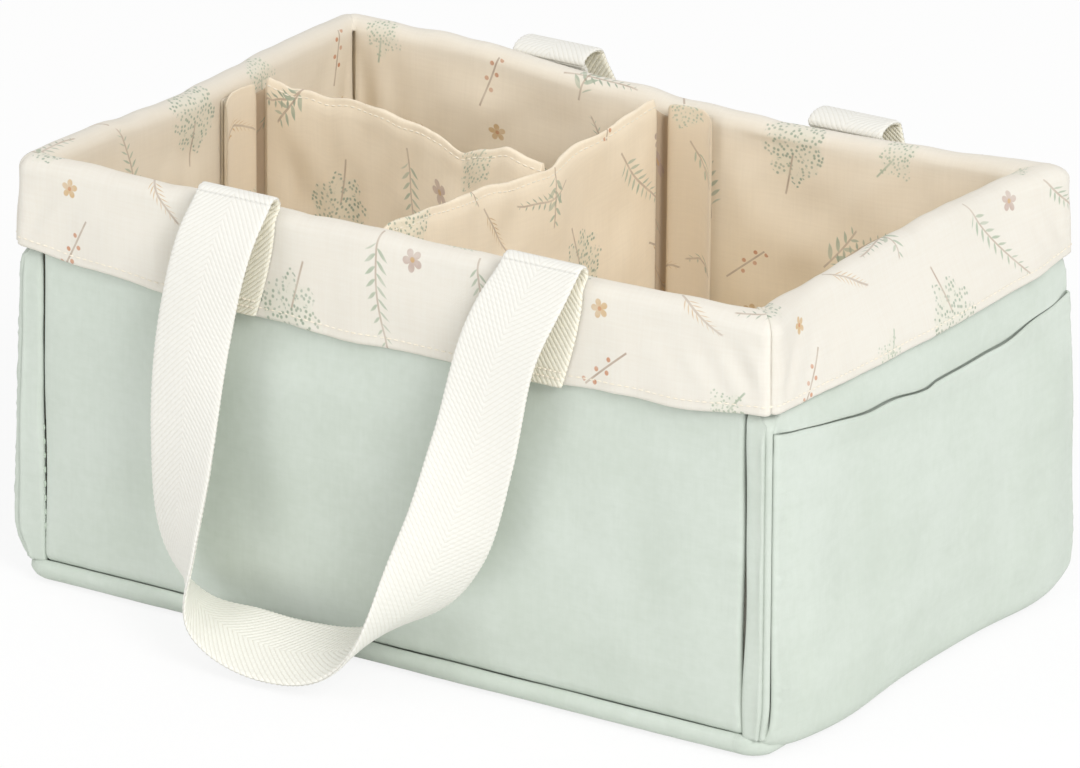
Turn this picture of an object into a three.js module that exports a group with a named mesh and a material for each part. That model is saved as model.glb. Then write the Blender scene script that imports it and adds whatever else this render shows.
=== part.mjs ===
// A soft nursery caddy: padded cotton walls round a base pad, a lining that folds over the rim as a cuff,
// a T-shaped divider held by hook-and-loop tabs, a slip pocket on each end and two webbing handles.
// Millimetres, +Z up. The origin is the centre of the underside, the front faces -Y and the right end +X.

import * as THREE from "three";

// Overall sizes
const caddyLength = 350; // over the flat faces of the two end panels
const caddyWidth = 230; // over the flat faces of the front and back panels
const rimHeight = 179; // floor to the top of the rolled rim
const clearance = 0.3; // between pieces that lie against each other

// Wall layers, from the outside in
const panelThickness = 2.4; // outer cotton and its wadding, at the sewn edges
const panelCrown = 3; // how far the wadding pushes the middle of a panel out
const panelFootRise = 22; // height over which the swelling starts, up from the foot
const panelTopFall = 45; // height over which it dies away, down from the cuff
const foamThickness = 6;
const liningThickness = 1.5;

// Cuff: the part of the lining that hangs down outside the rim
const cuffDepth = 39; // at the corners
const cuffSag = 7; // further drop at the middle of the front and back
const endCuffSag = 1; // further drop at the middle of an end
const cuffCornerRadius = 7;
const liningCornerRadius = 1;

// Base
const basePadThickness = 8;
const basePadLip = 2; // how far the pad stands out past the wall faces
const basePadCornerRadius = 12;
const basePadEdge = 3; // roundness of the pad's edge
const baseBoardThickness = 3;
const baseLiningThickness = 1.5;

// Corner bindings: the sewn strips beside each corner of the outer cover
const bindingWidth = 11;
const bindingCornerRadius = 7;
const bindingUnderCuff = 14; // how far a strip runs up under the cuff

// End pockets
const pocketFabric = 1.6;
const pocketDepth = 5; // how far the mouth stands open
const pocketSeam = 16; // width over which the pouch closes down to its seams
const pocketMouthHeight = 129; // at the side seams
const pocketMouthSag = 9;
const pocketMouthTilt = 4; // the mouth runs this much higher towards the front, and lower towards the back

// Divider
const dividerThickness = 4;
const dividerBelowRim = 5; // from the rim down to the divider's top, at the walls
const dividerSag = 8; // how far the top edges sink at the middle
const crossDividerX = -13;
const longDividerY = 26; // half way along
const longDividerLean = 6.5; // it meets the left end this much further back, and the cross divider further forward
const longDividerWave = 3; // sideways, to each side
const tabThickness = 2;
const tabWidth = 26;
const tabTurnRadius = 4;
const tapeThickness = 1.2; // each half of the hook-and-loop
const tapeWidth = 18;
const tapeLength = 100;

// Handles
const webbingWidth = 35;
const webbingThickness = 2;
const handleSpread = 142; // between the middles of the two folds
const handleAside = 4; // how far to the right of the wall's middle the folds' middle lies
const tailAboveHem = 1; // the sewn end starts this far above the cuff's hem
const tailSlant = 9; // the foot of a sewn end lies this far to the left of its fold
const tailWrap = 50; // degrees of the rolled rim that a sewn end bends over
const foldRadius = 3.5; // where the webbing turns back over itself to hang down
const legLean = 30; // degrees outwards from straight down, where the webbing leaves its fold
// The middle of a hanging loop from its left fold to its right one, as the photo shows it:
// across from the wall's middle, out from the panel's face, and up from the floor.
const loopRoute = [
  [-71, 14, 165],
  [-78, 19.5, 125],
  [-80, 22.5, 79],
  [-80, 25, 41],
  [-70, 27.5, 20],
  [-52, 29, 13],
  [-28, 29.5, 10.5],
  [-1, 29, 16],
  [26, 27, 37],
  [43, 24, 68],
  [54, 19, 108],
  [62, 14.5, 150],
];
const loopLowestAt = 0.5; // where along its length a loop lies lowest
const loopTwistReach = 0.42; // the share of its length, each way from there, over which it turns flat
const loopTilt = 0.5; // there its edge by the wall stands up by about this share of its width

// Worked out from the sizes above. A depth is measured inwards from a panel's flat face.
const foamDepth = panelThickness + clearance;
const liningDepth = foamDepth + foamThickness + clearance;
const wallDepth = liningDepth + liningThickness;
const cuffProud = clearance + liningThickness;
const rimRadius = (wallDepth + cuffProud) / 2;
const rimCentre = rimHeight - rimRadius;
const wallFoot = basePadThickness + clearance;
const hemHeight = rimHeight - cuffDepth;
const baseLiningFoot = wallFoot + baseBoardThickness + clearance;
const dividerFoot = baseLiningFoot + baseLiningThickness + clearance;
const dividerTop = rimHeight - dividerBelowRim;
const insideLength = caddyLength - 2 * wallDepth;
const insideWidth = caddyWidth - 2 * wallDepth;
const tapeStack = clearance + 2 * (tapeThickness + clearance);
const tabStandOff = tapeStack + tabThickness / 2; // lining's face to the middle of a tab
const tapeMiddle = tabTurnRadius + (tabWidth - tabTurnRadius) / 2; // from the divider to the tape's middle
const tailStart = cuffProud + clearance + webbingThickness / 2; // a handle's sewn end, out from the panel's face
const rimMiddle = (wallDepth - cuffProud) / 2; // depth of the middle of the rolled rim
const wrapRadius = rimRadius + clearance + webbingThickness / 2; // middle of the webbing, about the rim's middle
const wrapAngle = THREE.MathUtils.degToRad(tailWrap);
const foldFrom = Math.PI / 2 + wrapAngle; // headings in the upright plane, from straight out and upwards
const foldTo = THREE.MathUtils.degToRad(legLean) - Math.PI / 2;
const foldAxisOut = -rimMiddle + wrapRadius * Math.cos(wrapAngle) + foldRadius * Math.sin(foldFrom);
const foldAxisHeight = rimCentre + wrapRadius * Math.sin(wrapAngle) - foldRadius * Math.cos(foldFrom);

const sage = new THREE.MeshStandardMaterial({ color: "#cddbcf", roughness: 0.9, metalness: 0 });
const cream = new THREE.MeshStandardMaterial({ color: "#f2e6d6", roughness: 0.9, metalness: 0 });
const webbing = new THREE.MeshStandardMaterial({ color: "#f6f3e8", roughness: 0.95, metalness: 0 });
const foam = new THREE.MeshStandardMaterial({ color: "#e9e6dd", roughness: 1, metalness: 0 });
const board = new THREE.MeshStandardMaterial({ color: "#8d867a", roughness: 0.8, metalness: 0 });
const tape = new THREE.MeshStandardMaterial({ color: "#ece3d2", roughness: 1, metalness: 0 });

// The four walls. In a wall's own frame it faces -Y, with its panel's flat face at -reach.
const walls = [
  { name: "front", span: caddyLength, reach: caddyWidth / 2, turn: 0, sag: cuffSag },
  { name: "right_end", span: caddyWidth, reach: caddyLength / 2, turn: Math.PI / 2, sag: endCuffSag },
  { name: "back", span: caddyLength, reach: caddyWidth / 2, turn: Math.PI, sag: cuffSag },
  { name: "left_end", span: caddyWidth, reach: caddyLength / 2, turn: -Math.PI / 2, sag: endCuffSag },
];

const caddy = new THREE.Group();

function piece(name, geometry, material, parent) {
  const mesh = new THREE.Mesh(geometry, material);
  mesh.name = name;
  parent.add(mesh);
  return mesh;
}

// A closed geometry from points and triangles, turned so that its faces point outwards.
function closedGeometry(points, triangles) {
  const volume = triangles.reduce((sum, [a, b, c]) => {
    return sum + points[a].dot(new THREE.Vector3().crossVectors(points[b], points[c]));
  }, 0);
  const index = triangles.flatMap(([a, b, c]) => (volume < 0 ? [a, c, b] : [a, b, c]));
  const geometry = new THREE.BufferGeometry().setFromPoints(points).setIndex(index);
  geometry.computeVertexNormals();
  return geometry;
}

// A solid skinned over rings of equally many points. The flat outline of a ring shows how to close the ends.
function loft(rings, outline) {
  const count = outline.length;
  const last = (rings.length - 1) * count;
  const triangles = [];
  for (let r = 0; r + 1 < rings.length; r++) {
    for (let i = 0; i < count; i++) {
      const [a, b] = [r * count + i, r * count + ((i + 1) % count)];
      triangles.push([a, b, b + count], [a, b + count, a + count]);
    }
  }
  const cap = THREE.ShapeUtils.triangulateShape(outline, []);
  const facing = THREE.ShapeUtils.isClockWise(outline) ? 1 : -1;
  for (const [a, b, c] of cap) {
    const turned = facing > 0 ? [a, b, c] : [a, c, b];
    triangles.push(turned, [last + turned[0], last + turned[2], last + turned[1]]);
  }
  return closedGeometry(rings.flat(), triangles);
}

// A solid between two sheets of points, outer and inner, given over a grid of shares across and up.
function paddedSheet(columns, rows, outer, inner) {
  const points = [outer, inner].flatMap((sheet) => {
    const grid = [];
    for (let j = 0; j <= rows; j++) {
      for (let i = 0; i <= columns; i++) grid.push(sheet(i / columns, j / rows));
    }
    return grid;
  });
  const half = points.length / 2;
  const at = (i, j) => j * (columns + 1) + i;
  const triangles = [];
  const quad = (a, b, c, d) => triangles.push([a, b, c], [a, c, d]);
  for (let j = 0; j < rows; j++) {
    for (let i = 0; i < columns; i++) {
      const corners = [at(i, j), at(i + 1, j), at(i + 1, j + 1), at(i, j + 1)];
      quad(...corners);
      quad(...corners.map((k) => k + half).reverse());
    }
  }
  for (let i = 0; i < columns; i++) {
    quad(at(i, 0), at(i, 0) + half, at(i + 1, 0) + half, at(i + 1, 0));
    quad(at(i, rows), at(i + 1, rows), at(i + 1, rows) + half, at(i, rows) + half);
  }
  for (let j = 0; j < rows; j++) {
    quad(at(0, j), at(0, j + 1), at(0, j + 1) + half, at(0, j) + half);
    quad(at(columns, j), at(columns, j) + half, at(columns, j + 1) + half, at(columns, j + 1));
  }
  return closedGeometry(points, triangles);
}

// 0 below low, 1 above high, and a smooth step between.
function ease(value, low, high) {
  return THREE.MathUtils.smoothstep(value, low, high);
}

function roundedRectangle(width, length, radius) {
  const [x, y] = [width / 2, length / 2];
  const shape = new THREE.Shape();
  shape.moveTo(-x + radius, -y);
  shape.lineTo(x - radius, -y);
  shape.absarc(x - radius, -y + radius, radius, -Math.PI / 2, 0);
  shape.lineTo(x, y - radius);
  shape.absarc(x - radius, y - radius, radius, 0, Math.PI / 2);
  shape.lineTo(-x + radius, y);
  shape.absarc(-x + radius, y - radius, radius, Math.PI / 2, Math.PI);
  shape.lineTo(-x, -y + radius);
  shape.absarc(-x + radius, -y + radius, radius, Math.PI, 1.5 * Math.PI);
  return shape;
}

// The base: a pad with a rounded lip under the walls, a stiff board on it and the lining's floor on that.
function makeBase() {
  const padShape = roundedRectangle(
    caddyLength + 2 * (basePadLip - basePadEdge),
    caddyWidth + 2 * (basePadLip - basePadEdge),
    basePadCornerRadius,
  );
  const pad = new THREE.ExtrudeGeometry(padShape, {
    depth: basePadThickness - 2 * basePadEdge,
    bevelThickness: basePadEdge,
    bevelSize: basePadEdge,
    bevelSegments: 4,
    curveSegments: 6,
  });
  piece("base_outer_pad", pad, sage, caddy).position.z = basePadEdge;

  const floorShape = roundedRectangle(
    insideLength - 2 * clearance,
    insideWidth - 2 * clearance,
    liningCornerRadius,
  );
  const floorLayer = (name, thickness, foot, material) => {
    const layer = new THREE.ExtrudeGeometry(floorShape, {
      depth: thickness,
      bevelEnabled: false,
      curveSegments: 2,
    });
    piece(name, layer, material, caddy).position.z = foot;
  };
  floorLayer("base_board", baseBoardThickness, wallFoot, board);
  floorLayer("base_lining", baseLiningThickness, baseLiningFoot, cream);
}

// How far a panel's outer face swells past its flat face, at a share across and a height.
function panelSwell(across, height) {
  const side = 1 - Math.abs(2 * across - 1) ** 6;
  const foot = ease(height, wallFoot, wallFoot + panelFootRise);
  const lowestHem = hemHeight - cuffSag;
  const underCuff = 1 - ease(height, lowestHem - panelTopFall, lowestHem);
  return panelCrown * side * foot * underCuff;
}

function panelSpan(wall) {
  const cut = wall.name.endsWith("end") ? bindingCornerRadius : bindingWidth;
  return wall.span - 2 * (cut + clearance);
}

function makeOuterPanel(wall, parent, padded) {
  const span = panelSpan(wall);
  const top = rimCentre - clearance;
  const sheet = (depth) => (u, v) => {
    const height = THREE.MathUtils.lerp(wallFoot, top, v);
    const swell = depth === 0 && padded ? panelSwell(u, height) : 0;
    return new THREE.Vector3((u - 0.5) * span, -wall.reach + depth - swell, height);
  };
  const [columns, rows] = padded ? [16, 12] : [1, 1];
  const geometry = paddedSheet(columns, rows, sheet(0), sheet(panelThickness));
  piece(`${wall.name}_outer_panel`, geometry, sage, parent);
}

// A board of foam with a rounded top edge, standing between the outer panel and the lining.
function makeFoamBoard(wall, parent) {
  const round = foamThickness / 2;
  const profile = new THREE.Shape();
  profile.moveTo(-round, wallFoot);
  profile.lineTo(round, wallFoot);
  profile.lineTo(round, rimCentre - clearance);
  profile.absarc(0, rimCentre - clearance, round, 0, Math.PI);
  const length = panelSpan(wall);
  const geometry = new THREE.ExtrudeGeometry(profile, {
    depth: length,
    bevelEnabled: false,
    curveSegments: 5,
  });
  geometry.translate(0, 0, -length / 2);
  geometry.applyMatrix4(new THREE.Matrix4().makeBasis(
    new THREE.Vector3(0, 1, 0),
    new THREE.Vector3(0, 0, 1),
    new THREE.Vector3(1, 0, 0),
  ));
  piece(`${wall.name}_foam_board`, geometry, foam, parent).position.y = -wall.reach + foamDepth + round;
}

// How much further the hem drops, from 0 at a corner to all of the wall's sag at its middle.
function hemDrop(wall, share) {
  return wall.sag * (1 - share * share);
}

// The section of a lining panel, as depth and height: up the inside, over the rim and down to the cuff's hem.
function liningSection() {
  const steps = 8;
  const arc = (radius, from, to) => {
    const points = [];
    for (let i = 0; i <= steps; i++) {
      const angle = THREE.MathUtils.lerp(from, to, i / steps);
      points.push(new THREE.Vector2(
        rimMiddle + radius * Math.cos(angle),
        rimCentre + radius * Math.sin(angle),
      ));
    }
    return points;
  };
  return [
    new THREE.Vector2(wallDepth, wallFoot),
    ...arc(rimRadius, 0, Math.PI),
    new THREE.Vector2(-cuffProud, hemHeight),
    new THREE.Vector2(liningThickness - cuffProud, hemHeight),
    ...arc(rimRadius - liningThickness, Math.PI, 0),
    new THREE.Vector2(liningDepth, wallFoot),
  ];
}

// One side of the lining, with its cuff, from mitre to mitre. It runs straight and then half way round each corner.
function makeLining(wall, parent) {
  const section = liningSection();
  const cornerSteps = 4;
  const straightSteps = 6;
  const cornerRadius = (depth) => {
    return THREE.MathUtils.mapLinear(depth, -cuffProud, wallDepth, cuffCornerRadius, liningCornerRadius);
  };
  const stations = [];
  for (let i = cornerSteps; i > 0; i--) stations.push({ side: -1, angle: (i / cornerSteps) * (Math.PI / 4) });
  for (let i = 0; i <= straightSteps; i++) stations.push({ share: (2 * i) / straightSteps - 1 });
  for (let i = 1; i <= cornerSteps; i++) stations.push({ side: 1, angle: (i / cornerSteps) * (Math.PI / 4) });
  const rings = stations.map(({ side, angle, share }) => section.map(({ x: depth, y: height }) => {
    const radius = cornerRadius(depth);
    const straight = wall.span / 2 - depth - radius;
    if (share !== undefined) {
      const drop = height === hemHeight ? hemDrop(wall, share) : 0;
      return new THREE.Vector3(share * straight, -wall.reach + depth, height - drop);
    }
    const back = Math.abs(angle - Math.PI / 4) < 1e-6 ? (clearance / 2) * Math.SQRT1_2 : 0;
    return new THREE.Vector3(
      side * (straight + radius * Math.sin(angle) - back),
      -wall.reach + depth + radius * (1 - Math.cos(angle)) - back,
      height,
    );
  }));
  piece(`${wall.name}_lining`, loft(rings, section), cream, parent);
}

// A slip pocket over the lower part of an end panel: closed at its sides and foot, open along a sagging mouth.
function makePocket(wall, parent) {
  const span = panelSpan(wall);
  const towardsFront = wall.name === "right_end" ? -1 : 1;
  const mouth = (share) => {
    const sag = pocketMouthSag * (1 - share * share);
    return pocketMouthHeight - sag + pocketMouthTilt * share * towardsFront;
  };
  const sheet = (thickness) => (u, v) => {
    const x = (u - 0.5) * span;
    const height = THREE.MathUtils.lerp(wallFoot, mouth(2 * u - 1), v);
    const sides = ease(span / 2 - Math.abs(x), 0, pocketSeam);
    const foot = ease(height - wallFoot, 0, pocketSeam);
    const open = clearance + pocketDepth * sides * foot;
    return new THREE.Vector3(x, -wall.reach - open - thickness, height);
  };
  piece(`${wall.name}_pocket`, paddedSheet(22, 10, sheet(pocketFabric), sheet(0)), sage, parent);
}

// The strip beside a corner: flat along the long wall, then round the corner to the end panel.
function makeBinding(name, parent) {
  const outer = bindingCornerRadius;
  const inner = outer - panelThickness;
  const plan = new THREE.Shape();
  plan.moveTo(-bindingWidth, 0);
  plan.lineTo(-outer, 0);
  plan.absarc(-outer, outer, outer, -Math.PI / 2, 0);
  plan.lineTo(-panelThickness, outer);
  plan.absarc(-outer, outer, inner, 0, -Math.PI / 2, true);
  plan.lineTo(-bindingWidth, panelThickness);
  const geometry = new THREE.ExtrudeGeometry(plan, {
    depth: hemHeight + bindingUnderCuff - wallFoot,
    bevelEnabled: false,
    curveSegments: 8,
  });
  const strip = piece(name, geometry, sage, parent);
  strip.position.set(caddyLength / 2, -caddyWidth / 2, wallFoot);
  return strip;
}

function makeBindings() {
  for (const side of ["front", "back"]) {
    const turned = new THREE.Group();
    turned.rotation.z = side === "front" ? 0 : Math.PI;
    caddy.add(turned);
    const [right, left] = side === "front" ? ["right", "left"] : ["left", "right"];
    makeBinding(`${side}_${right}_corner_binding`, turned);
    const mirrored = makeBinding(`${side}_${left}_corner_binding`, turned);
    mirrored.scale.x = -1;
    mirrored.position.x *= -1;
  }
}

// A standing panel of cloth along a line in plan. Each station has a point, a half thickness and a top.
function curtain(stations) {
  const section = ({ half, top }) => [
    [half, dividerFoot],
    [-half, dividerFoot],
    [-half, top - half],
    [-half * 0.4, top],
    [half * 0.4, top],
    [half, top - half],
  ];
  const rings = stations.map((station, i) => {
    const before = stations[Math.max(i - 1, 0)].point;
    const after = stations[Math.min(i + 1, stations.length - 1)].point;
    const along = after.clone().sub(before).normalize();
    return section(station).map(([aside, height]) => new THREE.Vector3(
      station.point.x - along.y * aside,
      station.point.y + along.x * aside,
      height,
    ));
  });
  return loft(rings, section(stations[0]).map(([x, y]) => new THREE.Vector2(x, y)));
}

// Stations of a tab from its free end to where its divider starts, round a quarter turn.
function tabStations(corner, inward, onward) {
  const half = tabThickness / 2;
  const at = (a, b) => corner.clone().addScaledVector(inward, a).addScaledVector(onward, b);
  const lowered = tabThickness * 2; // the free end's top corner is rounded off
  const stations = [
    { point: at(-tabWidth, 0), half, top: dividerTop - lowered },
    { point: at(-tabWidth + lowered, 0), half, top: dividerTop },
  ];
  const steps = 4;
  for (let i = 0; i <= steps; i++) {
    const angle = ((i / steps) * Math.PI) / 2;
    stations.push({
      point: at(tabTurnRadius * (Math.sin(angle) - 1), tabTurnRadius * (1 - Math.cos(angle))),
      half: THREE.MathUtils.lerp(half, dividerThickness / 2, i / steps),
      top: dividerTop,
    });
  }
  return stations;
}

// The divider across the caddy, with a tab turned to the right at each end.
function makeCrossDivider(parent) {
  const tabY = insideWidth / 2 - tabStandOff;
  const inward = new THREE.Vector2(-1, 0);
  const front = tabStations(new THREE.Vector2(crossDividerX, -tabY), inward, new THREE.Vector2(0, 1));
  const back = tabStations(new THREE.Vector2(crossDividerX, tabY), inward, new THREE.Vector2(0, -1)).reverse();
  const [from, to] = [front.at(-1).point.y, back[0].point.y];
  const steps = 12;
  const middle = [];
  for (let i = 1; i < steps; i++) {
    const share = i / steps;
    middle.push({
      point: new THREE.Vector2(crossDividerX, THREE.MathUtils.lerp(from, to, share)),
      half: dividerThickness / 2,
      top: dividerTop - dividerSag * Math.sin(Math.PI * share) ** 1.5,
    });
  }
  piece("cross_divider", curtain([...front, ...middle, ...back]), cream, parent);
}

// The divider from the left end to the cross divider, with a tab turned to the front. It ripples along its length.
function makeLongDivider(parent) {
  const corner = new THREE.Vector2(-(insideLength / 2 - tabStandOff), longDividerY + longDividerLean);
  const tab = tabStations(corner, new THREE.Vector2(0, 1), new THREE.Vector2(1, 0));
  const from = tab.at(-1).point.x;
  const to = crossDividerX - dividerThickness / 2 - clearance;
  const steps = 18;
  const body = [];
  for (let i = 1; i <= steps; i++) {
    const share = i / steps;
    const ripple = Math.sin(2 * Math.PI * share) * Math.sin(Math.PI * share);
    body.push({
      point: new THREE.Vector2(
        THREE.MathUtils.lerp(from, to, share),
        longDividerY + longDividerLean * Math.cos(Math.PI * share) + longDividerWave * ripple,
      ),
      half: dividerThickness / 2,
      top: dividerTop - dividerSag * Math.sin((Math.PI / 2) * Math.min(1, 1.6 * share)) + ripple,
    });
  }
  piece("long_divider", curtain([...tab, ...body]), cream, parent);
}

// Both halves of a hook-and-loop fastening, at a wall: the loop half on the lining and the hook half on a tab.
function makeTapes(name, wall, across) {
  const frame = new THREE.Group();
  frame.rotation.z = wall.turn;
  caddy.add(frame);
  const shape = roundedRectangle(tapeWidth, tapeLength, tapeThickness);
  const half = (kind, layer) => {
    const geometry = new THREE.ExtrudeGeometry(shape, {
      depth: tapeThickness,
      bevelEnabled: false,
      curveSegments: 3,
    });
    geometry.rotateX(Math.PI / 2);
    const out = -wall.reach + wallDepth + clearance + layer * (tapeThickness + clearance) + tapeThickness;
    piece(`${name}_${kind}_tape`, geometry, tape, frame).position.set(
      across,
      out,
      dividerTop - 2 * tabThickness - tapeLength / 2,
    );
  };
  half("loop", 0);
  half("hook", 1);
}

// A length of webbing along points, with its width along the given directions. Its ends are cut square to the
// two directions in ends.
function ribbon(points, widths, ends) {
  const outline = [
    [-0.5, -0.5],
    [0.5, -0.5],
    [0.5, 0.5],
    [-0.5, 0.5],
  ].map(([a, b]) => new THREE.Vector2(a * webbingWidth, b * webbingThickness));
  const last = points.length - 1;
  const rings = points.map((point, i) => {
    let along = ends[i === 0 ? 0 : 1];
    if (i > 0 && i < last) along = points[i + 1].clone().sub(points[i - 1]).normalize();
    const width = widths[i].clone().addScaledVector(along, -widths[i].dot(along)).normalize();
    const face = new THREE.Vector3().crossVectors(width, along);
    return outline.map(({ x, y }) => point.clone().addScaledVector(width, x).addScaledVector(face, y));
  });
  return loft(rings, outline);
}

// A direction in a wall's upright plane: 0 is straight out and a quarter turn is up.
function headingWay(heading) {
  return new THREE.Vector3(0, -Math.cos(heading), Math.sin(heading));
}

// A point on a handle's fold, where the webbing has the given heading.
function foldPoint(wall, x, heading) {
  return new THREE.Vector3(
    x,
    -wall.reach - foldAxisOut + foldRadius * Math.sin(heading),
    foldAxisHeight + foldRadius * Math.cos(heading),
  );
}

// The sewn end of a handle, from the cuff's hem up and over the rolled rim, and the fold where it turns back.
function makeHandleEnd(name, wall, x, parent) {
  const acrossWall = new THREE.Vector3(1, 0, 0);
  const foot = hemHeight - hemDrop(wall, (2 * (x - tailSlant)) / wall.span) + tailAboveHem;
  const tail = [];
  const upSteps = 6;
  for (let i = 0; i <= upSteps; i++) {
    const share = i / upSteps;
    tail.push(new THREE.Vector3(
      x - tailSlant * (1 - share) ** 1.4,
      -wall.reach - tailStart,
      THREE.MathUtils.lerp(foot, rimCentre, share),
    ));
  }
  const wrapSteps = 5;
  const wrapEnd = wrapAngle - clearance / wrapRadius;
  for (let i = 1; i <= wrapSteps; i++) {
    const angle = (i / wrapSteps) * wrapEnd;
    tail.push(new THREE.Vector3(
      x,
      -wall.reach + rimMiddle - wrapRadius * Math.cos(angle),
      rimCentre + wrapRadius * Math.sin(angle),
    ));
  }
  const tailEnds = [headingWay(Math.PI / 2), headingWay(Math.PI / 2 + wrapEnd)];
  piece(`${name}_tail`, ribbon(tail, tail.map(() => acrossWall), tailEnds), webbing, parent);

  const fold = [];
  const foldSteps = 12;
  for (let i = 0; i <= foldSteps; i++) {
    fold.push(foldPoint(wall, x, THREE.MathUtils.lerp(foldFrom, foldTo, i / foldSteps)));
  }
  const foldEnds = [headingWay(foldFrom), headingWay(foldTo)];
  piece(`${name}_fold`, ribbon(fold, fold.map(() => acrossWall), foldEnds), webbing, parent);
}

// The free part of a handle: it hangs from its two folds and turns flat where it comes down to the floor.
function makeHandleLoop(name, wall, parent) {
  const down = headingWay(foldTo);
  const start = (side) => {
    return foldPoint(wall, handleAside + (side * handleSpread) / 2, foldTo).addScaledVector(down, clearance);
  };
  const route = new THREE.CatmullRomCurve3([
    start(-1),
    ...loopRoute.map(([across, out, up]) => new THREE.Vector3(across, -wall.reach - out, up)),
    start(1),
  ]);
  const steps = 56;
  const points = route.getSpacedPoints(steps);
  const widths = points.map((_, i) => {
    const share = THREE.MathUtils.clamp((i / steps - loopLowestAt) / loopTwistReach, -1, 1);
    const turn = (Math.PI / 2) * (1 + Math.sin((share * Math.PI) / 2));
    return new THREE.Vector3(-Math.cos(turn), Math.sin(turn), loopTilt * Math.sin(turn) ** 2);
  });
  piece(name, ribbon(points, widths, [down, down.clone().negate()]), webbing, parent);
}

makeBase();
for (const wall of walls) {
  const frame = new THREE.Group();
  frame.rotation.z = wall.turn;
  caddy.add(frame);
  const isEnd = wall.name.endsWith("end");
  makeOuterPanel(wall, frame, !isEnd);
  makeFoamBoard(wall, frame);
  makeLining(wall, frame);
  if (isEnd) {
    makePocket(wall, frame);
  } else {
    makeHandleEnd(`${wall.name}_handle_left`, wall, handleAside - handleSpread / 2, frame);
    makeHandleEnd(`${wall.name}_handle_right`, wall, handleAside + handleSpread / 2, frame);
    makeHandleLoop(`${wall.name}_handle_loop`, wall, frame);
  }
}
makeBindings();
makeCrossDivider(caddy);
makeLongDivider(caddy);
const [front, , back, leftEnd] = walls;
makeTapes("front", front, crossDividerX + tapeMiddle);
makeTapes("back", back, -(crossDividerX + tapeMiddle));
makeTapes("left_end", leftEnd, tapeMiddle - longDividerY - longDividerLean);

export default caddy;
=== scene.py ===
import math
import bpy
import numpy as np
from mathutils import Matrix, Vector


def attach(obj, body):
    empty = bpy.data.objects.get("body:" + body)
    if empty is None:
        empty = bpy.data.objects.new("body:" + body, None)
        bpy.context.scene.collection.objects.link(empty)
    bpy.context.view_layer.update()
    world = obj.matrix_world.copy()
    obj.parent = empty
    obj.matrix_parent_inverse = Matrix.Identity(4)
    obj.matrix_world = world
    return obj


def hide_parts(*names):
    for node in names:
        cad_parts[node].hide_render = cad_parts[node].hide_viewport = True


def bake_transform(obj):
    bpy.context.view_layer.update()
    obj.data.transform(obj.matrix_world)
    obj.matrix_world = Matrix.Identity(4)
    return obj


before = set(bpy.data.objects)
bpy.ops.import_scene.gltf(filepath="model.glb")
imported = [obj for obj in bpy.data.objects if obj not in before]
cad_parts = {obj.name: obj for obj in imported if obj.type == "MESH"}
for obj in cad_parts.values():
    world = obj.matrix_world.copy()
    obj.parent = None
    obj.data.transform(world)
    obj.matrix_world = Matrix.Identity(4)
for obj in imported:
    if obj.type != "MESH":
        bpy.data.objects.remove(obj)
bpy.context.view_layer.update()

# Sizes of the caddy, most of them as in its solids. Shapes are worked out in millimetres and made in metres.
MILLIMETRE = 0.001
RIM_HEIGHT = 179.0
LINING_THICKNESS = 1.5
LINING_DEPTH = 10.5
CUFF_PROUD = 1.8
RIM_RADIUS = 6.15
RIM_MIDDLE_DEPTH = 4.35
RIM_CENTRE = 172.85
HEM_HEIGHT = 140.0
CUFF_DROP = RIM_CENTRE - HEM_HEIGHT
HEM_STITCH_INSET = 3.2
# A hair's breadth between the cloths of two walls at their mitre
MITRE_GAP = 0.12
WALL_FOOT = 8.3
PANEL_FOOT = WALL_FOOT + 0.4
LONG_PANEL_TOP = 157.0
END_PANEL_TOP = 171.0
PANEL_THICKNESS = 1.8
PANEL_GAP = 0.6
FOAM_FOOT = WALL_FOOT + 7.0
FOAM_TOP = RIM_HEIGHT - 6.5
FOAM_DEPTH = 4.6
FOAM_THICKNESS = 2.6
FOAM_INSET = 12.0
POCKET_HALF = 111.0
POCKET_THICKNESS = 1.4
CUFF_CORNER_RADIUS = 7.0
LINING_CORNER_RADIUS = 1.0
# Nominal radius that the distance from a mitre is measured with
MITRE_RADIUS = 5.5
# What a corner takes off the straight length of a wall's lining
CORNER_INSET = 8.0
STRIP_WIDTH = 11.0
STRIP_FOOT = 9.0
STRIP_TOP = 150.0
STRIP_THICKNESS = 1.2
BASE_REACH = (175.4, 117.0)
BASE_CORNER = 12.0
FLOOR_REACH = (163.8, 103.8)
FLOOR_HEIGHT = 12.85
FLOOR_THICKNESS = 1.2
DIVIDER_FOOT = 13.4
DIVIDER_TOP = 174.0
DIVIDER_SEAM = 3.4
DIVIDER_HALF = 2.0
# Space between the long divider's free edge and the middle of the cross divider
DIVIDER_GAP = 2.3
CROSS_DIVIDER_X = -13.0
LONG_DIVIDER_Y = 26.0
LONG_DIVIDER_LEAN = 6.5
TAB_WIDTH = 26.0
TAB_TURN = 4.0
TAB_STAND_OFF = 4.3
INSIDE_LENGTH = 329.0
INSIDE_WIDTH = 209.0
WEBBING_WIDTH = 35.0
WEBBING_THICKNESS = 2.0
# Length of one bead of weft along a webbing's edge
WEBBING_BEAD = 2.2
WEBBING_STEP = 0.75
TACK_INSETS = (4.0, 7.0)
# The cloth places of a webbing's back face are shifted across by three of its widths
WEBBING_BACK = 105.0
HANDLE_SPREAD = 142.0
HANDLE_ASIDE = 4.0
TAIL_START = 3.1
TAIL_SLANT = 9.0
TAIL_WRAP = math.radians(50)
WRAP_RADIUS = 7.45
FOLD_RADIUS = 3.5
FOLD_OUT = 2.69
FOLD_HEIGHT = 181.24
# From a fold's middle to where it starts and stops bending
FOLD_BEND_OUT = 1.88
FOLD_BEND_UP = 1.58
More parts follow.
